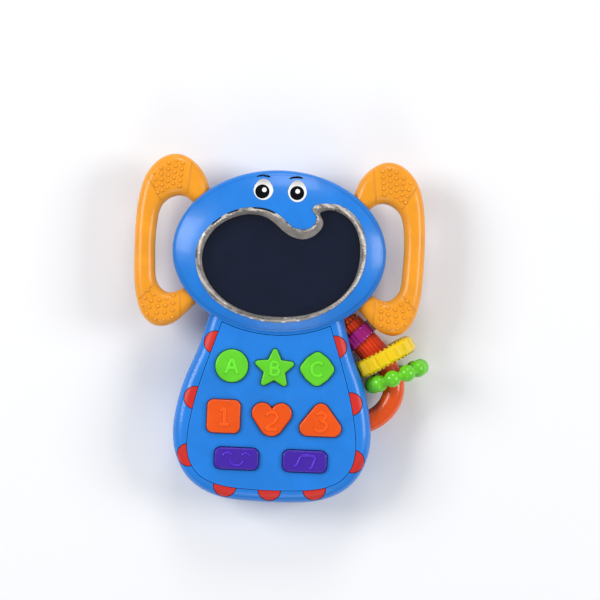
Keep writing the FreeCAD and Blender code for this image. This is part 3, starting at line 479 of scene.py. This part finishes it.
def place_group(tree: Tree, group: bpy.types.NodeTree, **values: float) -> bpy.types.Node:
    """Add a shared group with this material's own values.

    Args:
        tree: The material's tree helper.
        group: The shared group.
        **values: Input values; an underscore stands for a space in the input's name.

    Returns:
        The group's node.
    """
    node = tree.add("Group", node_tree=group)
    for label, value in values.items():
        node.inputs[label.replace("_", " ")].default_value = value
    return node


def roughen(tree: Tree, shader: bpy.types.Node, grain: bpy.types.Node, plain: float, worn: float) -> None:
    """Set a roughness that handling marks raise.

    Args:
        tree: The material's tree helper.
        shader: Its Principled BSDF.
        grain: The placed grain group.
        plain: Roughness of the clean surface.
        worn: Roughness that the marks add.
    """
    rough = tree.maths("MULTIPLY_ADD", grain.outputs["Haze"], worn)
    rough.node.inputs[2].default_value = plain
    tree.join(rough, shader.inputs["Roughness"])


def add_bump(tree: Tree, shader: bpy.types.Node, height: bpy.types.NodeSocket, depth: float) -> None:
    """Feed a height to the shader's normal.

    Args:
        tree: The material's tree helper.
        shader: Its Principled BSDF.
        height: Socket of the height.
        depth: Depth of the bump in millimetres.
    """
    bump = tree.add("Bump", Strength=1.0, Distance=depth * MM)
    tree.join(height, bump.inputs["Height"])
    tree.join(bump.outputs["Normal"], shader.inputs["Normal"])


BLUE = tone(28, 124, 216)
RED = tone(208, 42, 34)
AMBER = tone(240, 156, 30)
GREEN = tone(96, 205, 38)
ORANGE = tone(232, 82, 2)
PURPLE = tone(66, 30, 160)

# In the Moulded finishes, the edge value sets a painted highlight on thin edges and deep sets a painted
# shade in corners and gaps.
SLOT_FINISHES: dict[str, Finish] = {
    "blue_shell": Moulded("blue_gloss_shell", BLUE, roughness=0.3, coat=0.15, deep=0.32),
    "blue_panel": Moulded("blue_satin_panel", BLUE, roughness=0.4, edge_highlight=1.5, deep=0.32),
    "red_accent": Moulded("red_satin_pads", RED, roughness=0.4),
    "clear_lens": ClearPlastic("clear_window", tone(22, 30, 52)),
    "screen_card": RibbedCard("navy_ribbed_card", tone(27, 37, 66)),
    "white_tray": Moulded("white_diffuser", tone(228, 228, 222), roughness=0.55),
    "board": CircuitBoard("brown_board", tone(120, 84, 40), tone(176, 132, 70)),
    "lamp": Moulded("milky_lamp", tone(232, 232, 228), roughness=0.2, glow=0.4),
    "grey_rubber": Moulded("grey_rubber", tone(176, 178, 180), roughness=0.75, grain_height=0.03),
    "carbon": Moulded("carbon_contact", tone(28, 28, 30), roughness=0.7),
    "epoxy": Moulded("black_epoxy", tone(16, 16, 18), roughness=0.16, coat=0.4),
    "screw_steel": Moulded("zinc_steel", tone(176, 176, 180), roughness=0.34, metallic=1.0, edge_highlight=1.3),
    "amber_ear": Moulded("amber_teether", AMBER, roughness=0.34, coat=0.15, glow=0.12),
    "orange_bar": Moulded("orange_holder", tone(238, 84, 10), roughness=0.25, coat=0.3),
    "cell_jacket": CellJacket("cell_sleeve", tone(52, 58, 70), tone(196, 160, 92), 0.012),
    "nickel": Moulded("nickel_spring", tone(206, 204, 198), roughness=0.22, metallic=1.0),
    "speaker_paper": Moulded("paper_cone", tone(38, 38, 42), roughness=0.85, grain_size=0.6,
                             grain_height=0.06),
    "magnet": Moulded("ferrite", tone(62, 62, 66), roughness=0.6, metallic=0.4),
    "black_switch": Moulded("black_switch", tone(24, 24, 26), roughness=0.45, edge_highlight=2.0),
    "red_barrel": Moulded("red_barrel", tone(232, 62, 8), roughness=0.24, coat=0.3),
    "purple_plastic": Moulded("magenta_gloss", tone(150, 12, 112), roughness=0.2, coat=0.4, glow=0.1),
    "yellow_plastic": Moulded("yellow_gloss", tone(238, 202, 10), roughness=0.24, coat=0.3, glow=0.08),
    "green_beads": Moulded("green_gloss", tone(104, 205, 30), roughness=0.22, coat=0.3, glow=0.08),
    "green_key": Moulded("green_key", GREEN, roughness=0.36, coat=0.1, edge_highlight=1.35),
    "orange_key": Moulded("orange_key", ORANGE, roughness=0.36, coat=0.1, edge_highlight=1.35),
    "purple_key": Moulded("purple_key", PURPLE, roughness=0.36, coat=0.1, edge_highlight=1.5),
}

OWN_FINISHES: dict[str, Finish] = {
    "eye_white": EyeWhite("white_print", tone(238, 238, 234), tone(176, 174, 168)),
    "eye_black": Moulded("black_print", tone(6, 9, 14), roughness=0.55, mottle=0.1, edge_highlight=1.0,
                         shine=0.05),
    "middle_accent": Moulded("middle_accent", RED, roughness=0.4),
    # The raised marks are the key colours made 1.25 to 1.6 times lighter: a painted highlight on the marks.
    "green_mark": Moulded("green_mark", shade(GREEN, 1.25), roughness=0.3, edge_highlight=1.5, deep=0.5),
    "orange_mark": Moulded("orange_mark", shade(ORANGE, 1.25), roughness=0.3, edge_highlight=1.6, deep=0.5),
    "purple_mark": Moulded("purple_mark", shade(PURPLE, 1.6), roughness=0.3, edge_highlight=1.7, deep=0.5),
    # The nubs are the ear's amber made a little lighter, a painted highlight, and the raised lines are it
    # made darker, a painted shade.
    "amber_nub": Moulded("amber_nub", shade(AMBER, 1.05), roughness=0.3, coat=0.2, glow=0.12, deep=0.75),
    "amber_seam": Moulded("amber_seam", shade(AMBER, 0.78), roughness=0.4, glow=0.1),
    # The window's slope is drawn as an opaque grey skin with a painted reflection of the clear plastic.
    "painted_rim_reflection": PaintedRimReflection("painted_rim_reflection", tone(204, 196, 186), tone(84, 80, 78)),
}


def dress_packed_parts(groups: Groups) -> None:
    """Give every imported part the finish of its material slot.

    Args:
        groups: The shared node groups.
    """
    slots = {row["node"]: row["material_slot"] for row in frame["record"]["subparts"]}
    made = {slot: finish.build(groups) for slot, finish in SLOT_FINISHES.items()}
    for node, piece in frame["nodes"].items():
        piece.data.materials.clear()
        piece.data.materials.append(made[slots[node]])
        LOG.info("packed part %s: %s", node, slots[node])


# ---------------------------------------------------------------- modelling helpers
def start_alone() -> None:
    """Leave edit mode and deselect everything."""
    if bpy.context.object and bpy.context.object.mode != "OBJECT":
        bpy.ops.object.mode_set(mode="OBJECT")
    bpy.ops.object.select_all(action="DESELECT")


def pick(*pieces: bpy.types.Object) -> bpy.types.Object:
    """Select only these pieces and make the first one active.

    Args:
        *pieces: The pieces to select.

    Returns:
        The active piece.
    """
    start_alone()
    for piece in pieces:
        piece.select_set(True)
    bpy.context.view_layer.objects.active = pieces[0]
    return pieces[0]


def edit(piece: bpy.types.Object) -> None:
    """Open a piece in edit mode with everything selected.

    Args:
        piece: The piece to edit.
    """
    pick(piece)
    bpy.ops.object.mode_set(mode="EDIT")
    bpy.ops.mesh.select_all(action="SELECT")


def settle(piece: bpy.types.Object) -> bpy.types.Object:
    """Move a piece's place, turn and size into its mesh.

    Args:
        piece: The piece to settle.

    Returns:
        The same piece.
    """
    pick(piece)
    bpy.ops.object.transform_apply(location=True, rotation=True, scale=True)
    return piece


def weld(piece: bpy.types.Object, gap: float = 0.002) -> None:
    """Merge doubles and turn the faces outwards.

    Args:
        piece: The piece to weld.
        gap: Millimetres within which corners are merged.
    """
    edit(piece)
    bpy.ops.mesh.remove_doubles(threshold=gap * MM)
    bpy.ops.mesh.normals_make_consistent(inside=False)
    bpy.ops.object.mode_set(mode="OBJECT")


def apply(piece: bpy.types.Object, kind: str, **settings: object) -> None:
    """Add a modifier and apply it at once.

    Args:
        piece: The piece to change.
        kind: Modifier type.
        **settings: Its properties.
    """
    pick(piece)
    modifier = piece.modifiers.new(kind.lower(), kind)
    for name, value in settings.items():
        setattr(modifier, name, value)
    bpy.ops.object.modifier_apply(modifier=modifier.name)


def merge(pieces: list[bpy.types.Object]) -> bpy.types.Object:
    """Join finished shapes into one piece.

    Args:
        pieces: The shapes.

    Returns:
        The joined piece.
    """
    whole = pick(*pieces)
    if len(pieces) > 1:
        bpy.ops.object.join()
    return whole


def place_piece(piece: bpy.types.Object, name: str, body: str, finish: bpy.types.Material) -> None:
    """Name a finished piece, dress it and let it ride on its body.

    Args:
        piece: The finished piece, with its place in its mesh.
        name: Its name.
        body: The moving body that it belongs to.
        finish: Its material.
    """
    piece.name = name
    piece.data.name = name
    piece.data.materials.clear()
    piece.data.materials.append(finish)
    pick(piece)
    bpy.ops.object.shade_smooth_by_angle(angle=math.radians(40.0))
    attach(piece, body)
    LOG.info("piece %s on %s: %d faces", name, body, len(piece.data.polygons))


def drop_on(node: str, spot: Place) -> tuple[Vector, Vector] | None:
    """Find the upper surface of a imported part.

    Args:
        node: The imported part.
        spot: Place in millimetres.

    Returns:
        The point on the surface and its normal, or None beside the part.
    """
    start = Vector((spot[0] * MM, spot[1] * MM, RAY_START))
    hit, point, normal, _ = frame["nodes"][node].ray_cast(start, Vector((0.0, 0.0, -1.0)))
    return (point, normal) if hit else None


def stroke(points: list[Vector], half_width: float) -> bpy.types.Object:
    """Round bar through points, closed at both ends.

    Args:
        points: Places in metres.
        half_width: Half of the bar's width in millimetres.

    Returns:
        The bar as a mesh.
    """
    start_alone()
    bpy.ops.curve.primitive_bezier_curve_add()
    bar = bpy.context.object
    spline = bar.data.splines[0]
    spline.bezier_points.add(len(points) - len(spline.bezier_points))
    for knot, point in zip(spline.bezier_points, points):
        knot.co = point
        knot.handle_left_type = "AUTO"
        knot.handle_right_type = "AUTO"
    bar.data.resolution_u = 6
    bar.data.bevel_depth = half_width * MM
    bar.data.bevel_resolution = 2
    bar.data.use_fill_caps = True
    pick(bar)
    bpy.ops.object.convert(target="MESH")
    weld(bar)
    return bar


# ---------------------------------------------------------------- the face
@dataclass(frozen=True)
class Eye:
    """One printed eye, sizes in millimetres."""

    side: str
    centre: Place
    width: float
    height: float
    pupil: Place
    glint: Place
    brow: tuple[Place, Place, Place]


@dataclass
class AnimalFace:
    """Printed eyes and brows that follow the crown of the head."""

    eyes: tuple[Eye, ...] = (
        Eye("left", (-7.5, 57.3), 8.1, 8.8, (-7.9, 56.4), (-7.1, 57.1),
            ((-10.4, 62.5), (-7.8, 63.1), (-5.0, 62.5))),
        Eye("right", (6.4, 57.1), 7.7, 9.0, (6.3, 56.3), (6.5, 57.0),
            ((3.0, 62.2), (5.7, 62.9), (8.3, 62.6))),
    )
    pupil_width: float = 5.8     # millimetres, as the rest
    glint_width: float = 1.9
    brow_width: float = 0.85
    ink: float = 0.07            # between one ink layer and the next
    lift: float = 0.02           # between the crown and the first layer
    egg: float = 0.12            # how much narrower the whites are at the top

    def disc(self, centre: Place, width: float, height: float, egg: float, layer: int) -> bpy.types.Object:
        """Print a round or egg-shaped spot on the crown.

        Args:
            centre: Middle of the spot.
            width: Its width.
            height: Its height.
            egg: How much narrower its top is, from 0 to 1.
            layer: Number of ink layers under it.

        Returns:
            The spot as a thin closed mesh.
        """
        start_alone()
        bpy.ops.mesh.primitive_circle_add(vertices=48, radius=0.5 * MM, fill_type="NGON",
                                          location=(centre[0] * MM, centre[1] * MM, ABOVE))
        spot = bpy.context.object
        edit(spot)
        for _ in range(4):
            bpy.ops.mesh.inset(thickness=0.1 * MM, depth=0.0)
        bpy.ops.mesh.poke()
        bpy.ops.mesh.select_all(action="SELECT")
        bpy.ops.transform.resize(value=(width, height, 1.0))
        for share in (0.0, 0.22):
            self.select_above(spot, height * share * MM)
            bpy.ops.transform.resize(value=(1.0 - egg / 2, 1.0, 1.0),
                                     center_override=(centre[0] * MM, centre[1] * MM, ABOVE))
        bpy.ops.object.mode_set(mode="OBJECT")
        settle(spot)
        return self.lay(spot, layer)

    def select_above(self, spot: bpy.types.Object, low: float) -> None:
        """Select the vertices of a spot that lie higher than a place up the face.

        Args:
            spot: The spot, open in edit mode.
            low: The place in metres, from the spot's middle.
        """
        cage = bmesh.from_edit_mesh(spot.data)
        for vertex in cage.verts:
            vertex.select = vertex.co.y > low + 1e-6
        cage.select_flush_mode()
        bmesh.update_edit_mesh(spot.data)

    def lay(self, sheet: bpy.types.Object, layer: int) -> bpy.types.Object:
        """Wrap a flat sheet on the crown and give it the thickness of ink.

        Args:
            sheet: The flat sheet over the crown.
            layer: Number of ink layers under it.

        Returns:
            The same sheet, wrapped and closed.
        """
        apply(sheet, "SHRINKWRAP", wrap_method="PROJECT", target=frame["nodes"]["front_shell"],
              use_project_z=True, use_positive_direction=False, use_negative_direction=True,
              offset=(self.lift + layer * self.ink) * MM)
        apply(sheet, "SOLIDIFY", thickness=self.ink * 1.3 * MM, offset=1.0)
        weld(sheet)
        return sheet

    def brow(self, knots: tuple[Place, Place, Place]) -> bpy.types.Object:
        """Print a brow: a thin bowed stripe with narrow ends.

        Args:
            knots: Its first place, its crest and its last place.

        Returns:
            The brow as a thin closed mesh.
        """
        first, crest, last = (Vector((x * MM, y * MM, ABOVE)) for x, y in knots)
        bow = crest * 2 - (first + last) / 2
        start_alone()
        bpy.ops.mesh.primitive_grid_add(x_subdivisions=14, y_subdivisions=3, size=1.0,
                                        location=(0, 0, ABOVE))
        stripe = bpy.context.object
        edit(stripe)
        bpy.ops.transform.resize(value=((last - first).length, self.brow_width * MM, 1.0))
        cage = bmesh.from_edit_mesh(stripe.data)
        for vertex in cage.verts:
            share = vertex.co.x / (last - first).length + 0.5
            line = first * (1 - share) ** 2 + bow * 2 * share * (1 - share) + last * share ** 2
            vertex.co = Vector((line.x, line.y + vertex.co.y * (0.6 + 1.6 * share * (1 - share)), 0.0))
        bmesh.update_edit_mesh(stripe.data)
        bpy.ops.object.mode_set(mode="OBJECT")
        settle(stripe)
        return self.lay(stripe, 0)

    def build(self, finishes: dict[str, bpy.types.Material]) -> None:
        """Print both eyes.

        Args:
            finishes: The materials of this script's own pieces.
        """
        for eye in self.eyes:
            white = self.disc(eye.centre, eye.width, eye.height, self.egg, 0)
            place_piece(white, eye.side + "_eye_white", "shell", finishes["eye_white"])
            pupil = self.disc(eye.pupil, self.pupil_width, self.pupil_width, 0.0, 1)
            place_piece(pupil, eye.side + "_pupil", "shell", finishes["eye_black"])
            glint = self.disc(eye.glint, self.glint_width, self.glint_width, 0.0, 2)
            place_piece(glint, eye.side + "_eye_glint", "shell", finishes["eye_white"])
            brow = self.brow(eye.brow)
            place_piece(brow, eye.side + "_brow", "shell", finishes["eye_black"])


# ---------------------------------------------------------------- marks on the keys
class Mark(Enum):
    """Each mark as the lines that it is drawn along, in millimetres from its middle."""

    A = (((-2.3, -3.1), (-1.15, 0.0), (-0.1, 3.1)), ((0.1, 3.1), (1.25, 0.0), (2.4, -3.1)),
         ((-1.6, -0.9), (0.1, -0.9), (1.7, -0.9)))
    B = (((-1.5, -2.6), (-1.5, 0.0), (-1.5, 2.6)),
         ((-1.5, 2.6), (0.2, 2.6), (1.25, 2.0), (1.2, 0.8), (0.2, 0.2), (-1.5, 0.2)),
         ((0.2, 0.2), (1.4, -0.3), (1.7, -1.4), (1.1, -2.4), (0.0, -2.7), (-1.5, -2.7)))
    C = (((2.0, 2.1), (1.0, 2.75), (-0.4, 2.7), (-1.8, 1.7), (-2.3, 0.0), (-1.8, -1.7), (-0.5, -2.6),
          (0.9, -2.6), (2.1, -1.9)),)
    ONE = (((-1.6, 2.2), (-0.5, 2.7), (0.4, 3.6)), ((0.4, 3.6), (0.4, 0.4), (0.4, -3.3)),
           ((-1.8, -3.4), (0.3, -3.4), (2.4, -3.4)))
    TWO = (((-2.1, 2.3), (-1.2, 3.4), (0.3, 3.75), (1.8, 3.0), (2.2, 1.5), (1.3, -0.1),
            (-0.8, -1.6), (-2.2, -3.2)),
           ((-2.2, -3.2), (0.2, -3.2), (2.5, -3.2)))
    THREE = (((-1.8, 2.9), (-0.4, 3.7), (1.2, 3.5), (2.0, 2.3), (1.4, 0.9), (0.0, 0.3)),
             ((0.0, 0.3), (1.8, -0.2), (2.4, -1.7), (1.7, -3.2), (0.0, -3.8), (-1.6, -3.5),
              (-2.3, -2.6)))
    SMILE = (((-5.6, 1.1), (-4.9, 2.0), (-3.8, 2.45), (-2.9, 2.25), (-2.2, 1.5)),
             ((5.6, 1.1), (4.9, 2.0), (3.8, 2.45), (2.9, 2.25), (2.2, 1.5)),
             ((-2.9, -0.9), (-1.7, -2.2), (0.0, -2.7), (1.7, -2.2), (2.9, -0.9)))
    NOTES = (((-3.4, -1.9), (-2.6, -0.2), (-1.6, 2.2)), ((-1.6, 2.4), (1.2, 2.5), (4.2, 2.1)),
             ((4.3, 2.0), (3.8, -0.4), (2.9, -2.6)), ((-4.5, -2.1), (-3.9, -1.8), (-3.4, -1.9)),
             ((1.8, -2.9), (2.4, -2.6), (2.9, -2.6)))


@dataclass(frozen=True)
class KeyMark:
    """One key and its raised mark; widths are in millimetres."""

    key: str
    mark: Mark
    finish: str
    slot: str
    half_width: float = 0.72
    shift: Place = (0.0, 0.0)


@dataclass
class KeyMarks:
    """Raised letters, figures and signs in the middle of the keys."""

    marks: tuple[KeyMark, ...] = (
        KeyMark("key_a", Mark.A, "green_mark", "green_key"),
        KeyMark("key_b", Mark.B, "green_mark", "green_key", shift=(0.1, -0.5)),
        KeyMark("key_c", Mark.C, "green_mark", "green_key", shift=(0.1, -0.2)),
        KeyMark("key_1", Mark.ONE, "orange_mark", "orange_key"),
        KeyMark("key_2", Mark.TWO, "orange_mark", "orange_key", shift=(0.0, -0.8)),
        KeyMark("key_3", Mark.THREE, "orange_mark", "orange_key", shift=(0.0, -0.8)),
        KeyMark("key_smile", Mark.SMILE, "purple_mark", "purple_key", half_width=0.5),
        KeyMark("key_music", Mark.NOTES, "purple_mark", "purple_key", half_width=0.56),
    )
    rise: float = 0.42           # millimetres over the key's top
    voxel: float = 0.11          # millimetres of detail kept where lines run together

    def middle(self, mark: KeyMark) -> Vector:
        """Find where a mark goes.

        Args:
            mark: The key and its mark.

        Returns:
            Middle of the top of its key, moved by the mark's shift, in metres.
        """
        low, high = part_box(mark.key)
        return Vector(((low.x + high.x) / 2 + mark.shift[0] * MM,
                       (low.y + high.y) / 2 + mark.shift[1] * MM, high.z))

    def raise_mark(self, mark: KeyMark) -> bpy.types.Object:
        """Model one mark at its place.

        Args:
            mark: The key and its mark.

        Returns:
            The mark as one closed, softly rounded shape.
        """
        middle = self.middle(mark)
        bars = [stroke([middle + Vector((x * MM, y * MM, 0.0)) for x, y in line], mark.half_width)
                for line in mark.mark.value]
        sign = merge(bars)
        apply(sign, "REMESH", mode="VOXEL", voxel_size=self.voxel * MM)
        apply(sign, "SMOOTH", factor=0.5, iterations=4)
        edit(sign)
        bpy.ops.transform.resize(value=(1.0, 1.0, self.rise / mark.half_width), center_override=middle)
        bpy.ops.object.mode_set(mode="OBJECT")
        return sign

    def build(self, finishes: dict[str, bpy.types.Material]) -> None:
        """Raise every mark on its key.

        Args:
            finishes: The materials of this script's own pieces.
        """
        for mark in self.marks:
            name = mark.key.replace("key", "mark")
            place_piece(self.raise_mark(mark), name, mark.key, finishes[mark.finish])


# ---------------------------------------------------------------- the window's rim
@dataclass
class WindowRim:
    """Bright slope round the window, where the clear plastic throws back the light."""

    skin: float = 0.05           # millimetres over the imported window
    flattest: float = 0.12       # share of upright tilt where the slope counts as slope
    steepest: float = 0.97
    over_card: float = 0.8       # millimetres over the card where the slope starts

    def build(self, finishes: dict[str, bpy.types.Material]) -> None:
        """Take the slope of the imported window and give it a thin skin.

        Args:
            finishes: The materials of this script's own pieces.
        """
        start_alone()
        source = frame["nodes"]["screen_lens"]
        rim = bpy.data.objects.new("window_rim", source.data.copy())
        bpy.context.scene.collection.objects.link(rim)
        weld(rim)
        low_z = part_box("lenticular_card")[1].z + self.over_card * MM
        edit(rim)
        cage = bmesh.from_edit_mesh(rim.data)
        for face in cage.faces:
            slope = self.flattest < face.normal.z < self.steepest
            face.select = not (slope and face.calc_center_median().z > low_z)
        cage.select_flush_mode()
        bmesh.update_edit_mesh(rim.data)
        bpy.ops.mesh.delete(type="FACE")
        bpy.ops.object.mode_set(mode="OBJECT")
        apply(rim, "SOLIDIFY", thickness=self.skin * MM, offset=1.0)
        place_piece(rim, "window_rim", "shell", finishes["painted_rim_reflection"])


# ---------------------------------------------------------------- the lowest accent pad
@dataclass
class MiddlePad:
    """Half-round red pad at the foot of the keypad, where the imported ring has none."""

    centre_y: float = -65.4      # millimetres, as the rest up to foot_z
    radius: float = 4.6
    sink: float = 0.25           # below the blue border
    gap: float = 0.3             # to the keypad panel
    beside: float = 5.6          # where the border is whole beside the pad
    rim: float = 0.7             # strip by the panel that has one height
    foot_z: float = 22.1         # just over the pocket's floor
    rows: int = 6                # cuts across the pad's depth

    def build(self, finishes: dict[str, bpy.types.Material]) -> None:
        """Model the pad in place, level with the border beside it.

        Args:
            finishes: The materials of this script's own pieces.
        """
        edge_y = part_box("keypad_panel")[0].y - self.gap * MM
        start_alone()
        bpy.ops.mesh.primitive_circle_add(vertices=64, radius=self.radius * MM, fill_type="NGON",
                                          location=(0.0, self.centre_y * MM, ABOVE))
        pad = bpy.context.object
        settle(pad)
        edit(pad)
        bpy.ops.mesh.bisect(plane_co=(0.0, edge_y, ABOVE), plane_no=(0.0, 1.0, 0.0), clear_outer=True)
        low = (self.centre_y - self.radius) * MM
        for row in range(1, self.rows):
            bpy.ops.mesh.select_all(action="SELECT")
            cut_y = low + (edge_y - low) * row / self.rows
            bpy.ops.mesh.bisect(plane_co=(0.0, cut_y, ABOVE), plane_no=(0.0, 1.0, 0.0))
        bpy.ops.object.mode_set(mode="OBJECT")
        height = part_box("keypad_panel")[1].z
        for vertex in sorted(pad.data.vertices, key=lambda corner: corner.co.y):
            beside_y = min(vertex.co.y, edge_y - self.rim * MM) / MM
            found = drop_on("front_shell", (self.beside, beside_y))
            if found is not None:
                height = found[0].z - self.sink * MM
            vertex.co.z = height
        edit(pad)
        bpy.ops.mesh.extrude_region_move(TRANSFORM_OT_translate={"value": (0.0, 0.0, -1.0 * MM)})
        bpy.ops.object.mode_set(mode="OBJECT")
        for vertex in pad.data.vertices:
            if vertex.select:
                vertex.co.z = self.foot_z * MM
        edit(pad)
        bpy.ops.mesh.normals_make_consistent(inside=False)
        bpy.ops.object.mode_set(mode="OBJECT")
        place_piece(pad, "middle_pad", "shell", finishes["middle_accent"])


# ---------------------------------------------------------------- the teether ears
@dataclass(frozen=True)
class NubRow:
    """A row of nubs from one place to another, in millimetres, as on the right ear."""

    first: Place
    last: Place
    count: int


@dataclass
class TeetherEars:
    """Nubs on both bends of each ear, and the raised lines where they start and end."""

    rows: tuple[NubRow, ...] = (
        NubRow((41.1, 66.9), (42.1, 57.4), 5), NubRow((43.8, 68.0), (44.7, 58.4), 5),
        NubRow((46.7, 66.8), (47.1, 56.8), 5), NubRow((49.8, 64.5), (49.1, 55.4), 5),
        NubRow((52.7, 62.4), (50.9, 54.6), 4), NubRow((42.6, 12.3), (42.9, 3.6), 4),
        NubRow((45.5, 11.1), (46.2, 2.6), 4), NubRow((48.4, 10.4), (49.7, 2.6), 4),
        NubRow((50.9, 12.6), (53.2, 4.7), 4), NubRow((53.3, 14.2), (55.3, 8.0), 3),
    )
    lines: tuple[tuple[Place, Place], ...] = (
        ((55.2, 60.9), (49.5, 51.5)), ((37.4, 67.6), (38.8, 54.3)),
        ((57.0, 10.3), (51.4, 16.4)), ((40.1, 13.2), (39.6, 3.0)),
    )
    nub_width: float = 1.45      # millimetres, as the rest up to line_sink
    nub_rise: float = 0.5
    nub_skirt: float = 0.3       # how deep a nub's foot goes into the ear
    line_half: float = 0.26
    line_sink: float = 0.08
    line_steps: int = 14

    def nub(self) -> bpy.types.Object:
        """Model one nub at the origin: a low dome with a short skirt that sinks into the ear.

        Returns:
            The nub.
        """
        start_alone()
        bpy.ops.mesh.primitive_uv_sphere_add(segments=10, ring_count=8, radius=self.nub_width / 2 * MM)
        nub = bpy.context.object
        edit(nub)
        bpy.ops.mesh.bisect(plane_co=(0, 0, 0), plane_no=(0, 0, 1), clear_inner=True, threshold=1e-7)
        bpy.ops.mesh.select_all(action="SELECT")
        bpy.ops.transform.resize(value=(1.0, 1.0, 2 * self.nub_rise / self.nub_width))
        cage = bmesh.from_edit_mesh(nub.data)
        for element in (*cage.verts, *cage.edges, *cage.faces):
            element.select = False
        for edge in cage.edges:
            edge.select = edge.is_boundary
        cage.select_flush(True)
        bmesh.update_edit_mesh(nub.data)
        bpy.ops.mesh.extrude_region_move(TRANSFORM_OT_translate={"value": (0.0, 0.0, -self.nub_skirt * MM)})
        bpy.ops.mesh.edge_face_add()
        bpy.ops.object.mode_set(mode="OBJECT")
        weld(nub)
        return nub

    def copy_to(self, pattern: bpy.types.Object, node: str, spot: Place) -> bpy.types.Object:
        """Copy a shape onto an ear, standing straight out of its surface.

        Args:
            pattern: The shape, at the origin.
            node: The ear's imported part.
            spot: Place in millimetres.

        Returns:
            The copy.
        """
        point, normal = drop_on(node, spot)
        copy = pattern.copy()
        copy.data = pattern.data.copy()
        bpy.context.scene.collection.objects.link(copy)
        turn = normal.to_track_quat("Z", "Y").to_matrix().to_4x4()
        copy.data.transform(Matrix.Translation(point) @ turn)
        return copy

    def seam(self, node: str, first: Place, last: Place) -> bpy.types.Object:
        """Lay a fine raised line across an ear.

        Args:
            node: The ear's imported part.
            first: Place in millimetres where the line starts.
            last: Place where it ends.

        Returns:
            The line as a mesh.
        """
        knots = []
        for i in range(self.line_steps + 1):
            share = i / self.line_steps
            spot = (first[0] + (last[0] - first[0]) * share, first[1] + (last[1] - first[1]) * share)
            found = drop_on(node, spot)
            if found:
                knots.append(found[0] - found[1] * self.line_sink * MM)
        return stroke(knots, self.line_half)

    def build(self, finishes: dict[str, bpy.types.Material]) -> None:
        """Cover both ears.

        Args:
            finishes: The materials of this script's own pieces.
        """
        pattern = self.nub()
        for node, side in (("right_ear", 1.0), ("left_ear", -1.0)):
            nubs = []
            for row in self.rows:
                for i in range(row.count):
                    share = i / (row.count - 1)
                    spot = tuple(a + (b - a) * share for a, b in zip(row.first, row.last))
                    nubs.append(self.copy_to(pattern, node, (spot[0] * side, spot[1])))
            place_piece(merge(nubs), node + "_nubs", "shell", finishes["amber_nub"])
            seams = [self.seam(node, (a[0] * side, a[1]), (b[0] * side, b[1])) for a, b in self.lines]
            place_piece(merge(seams), node + "_seams", "shell", finishes["amber_seam"])
        bpy.data.objects.remove(pattern)


# ---------------------------------------------------------------- studio
@dataclass
class Studio:
    """Pale floor, soft lights and the camera above the face."""

    camera_height: float = 1.0   # metres over the face
    face_height: float = 0.025   # metres
    view_width: float = 0.246    # metres across the view at the face
    view_turn: float = 2.4       # degrees
    view_middle: Place = (9.3, 12.8)
    floor_half: float = 3.0      # metres
    floor_gap: float = 0.2       # millimetres under the toy
    aim_at: tuple[float, float, float] = (0.0, 0.01, 0.02)

    def floor(self) -> None:
        """Lay a pale floor just under the toy."""
        start_alone()
        bpy.ops.mesh.primitive_plane_add(size=2 * self.floor_half,
                                         location=(0, 0, CAD_BOX[0][2] - self.floor_gap * MM))
        floor = bpy.context.object
        floor.name = "floor"
        material, tree, shader = start_material("pale_floor")
        cloud = tree.add("TexNoise", Scale=3.0, Detail=2.0)
        tree.join(tree.add("TexCoord").outputs["Object"], cloud.inputs["Vector"])
        pale = tree.mix(cloud.outputs["Fac"], (0.86, 0.86, 0.865), (0.9, 0.9, 0.9))
        tree.join(pale, shader.inputs["Base Color"])
        shader.inputs["Roughness"].default_value = 0.85
        floor.data.materials.append(material)

    def light(self, name: str, place: tuple[float, float, float], size: float, power: float) -> None:
        """Hang a square soft light that faces the toy.

        Args:
            name: Name of the light.
            place: Where it hangs, in metres.
            size: Length of its side in metres.
            power: Its power in watts.
        """
        data = bpy.data.lights.new(name, "AREA")
        data.size = size
        data.energy = power
        lamp = bpy.data.objects.new(name, data)
        lamp.location = place
        aim = Vector(self.aim_at) - lamp.location
        lamp.rotation_euler = aim.to_track_quat("-Z", "Y").to_euler()
        bpy.context.scene.collection.objects.link(lamp)

    def camera(self) -> None:
        """Set the camera straight above the face, turned a little."""
        data = bpy.data.cameras.new("camera")
        data.sensor_width = 36.0
        data.lens = data.sensor_width * self.camera_height / self.view_width
        camera = bpy.data.objects.new("camera", data)
        camera.location = (self.view_middle[0] * MM, self.view_middle[1] * MM,
                           self.camera_height + self.face_height)
        camera.rotation_euler = (0.0, 0.0, math.radians(self.view_turn))
        bpy.context.scene.collection.objects.link(camera)
        bpy.context.scene.camera = camera

    def build(self) -> None:
        """Build the floor, the lights and the camera."""
        self.camera()
        self.floor()
        self.light("key_light", (-0.95, 0.3, 0.85), 0.6, 9.5)
        self.light("side_light", (1.0, 0.15, 0.75), 0.5, 6.5)
        self.light("far_light", (0.1, 1.2, 0.75), 0.5, 5.0)
        self.light("low_light", (0.1, -1.0, 0.8), 0.6, 2.6)
        scene = bpy.context.scene
        scene.view_settings.view_transform = "Standard"
        world = bpy.data.worlds.new("soft_room")
        world.use_nodes = True
        background = world.node_tree.nodes["Background"]
        background.inputs["Color"].default_value = (0.9, 0.93, 1.0, 1.0)
        background.inputs["Strength"].default_value = 0.36
        scene.world = world


def main() -> None:
    """Build the looks in order."""
    logging.basicConfig(level=logging.INFO, format="%(name)s: %(message)s")
    start_alone()
    Studio().build()
    groups = Groups(make_mould_grain(), make_edge_highlight_and_corner_shade())
    dress_packed_parts(groups)
    own = {name: finish.build(groups) for name, finish in OWN_FINISHES.items()}
    AnimalFace().build(own)
    WindowRim().build(own)
    KeyMarks().build(own)
    MiddlePad().build(own)
    TeetherEars().build(own)
    start_alone()


if __name__ == "__main__":
    main()
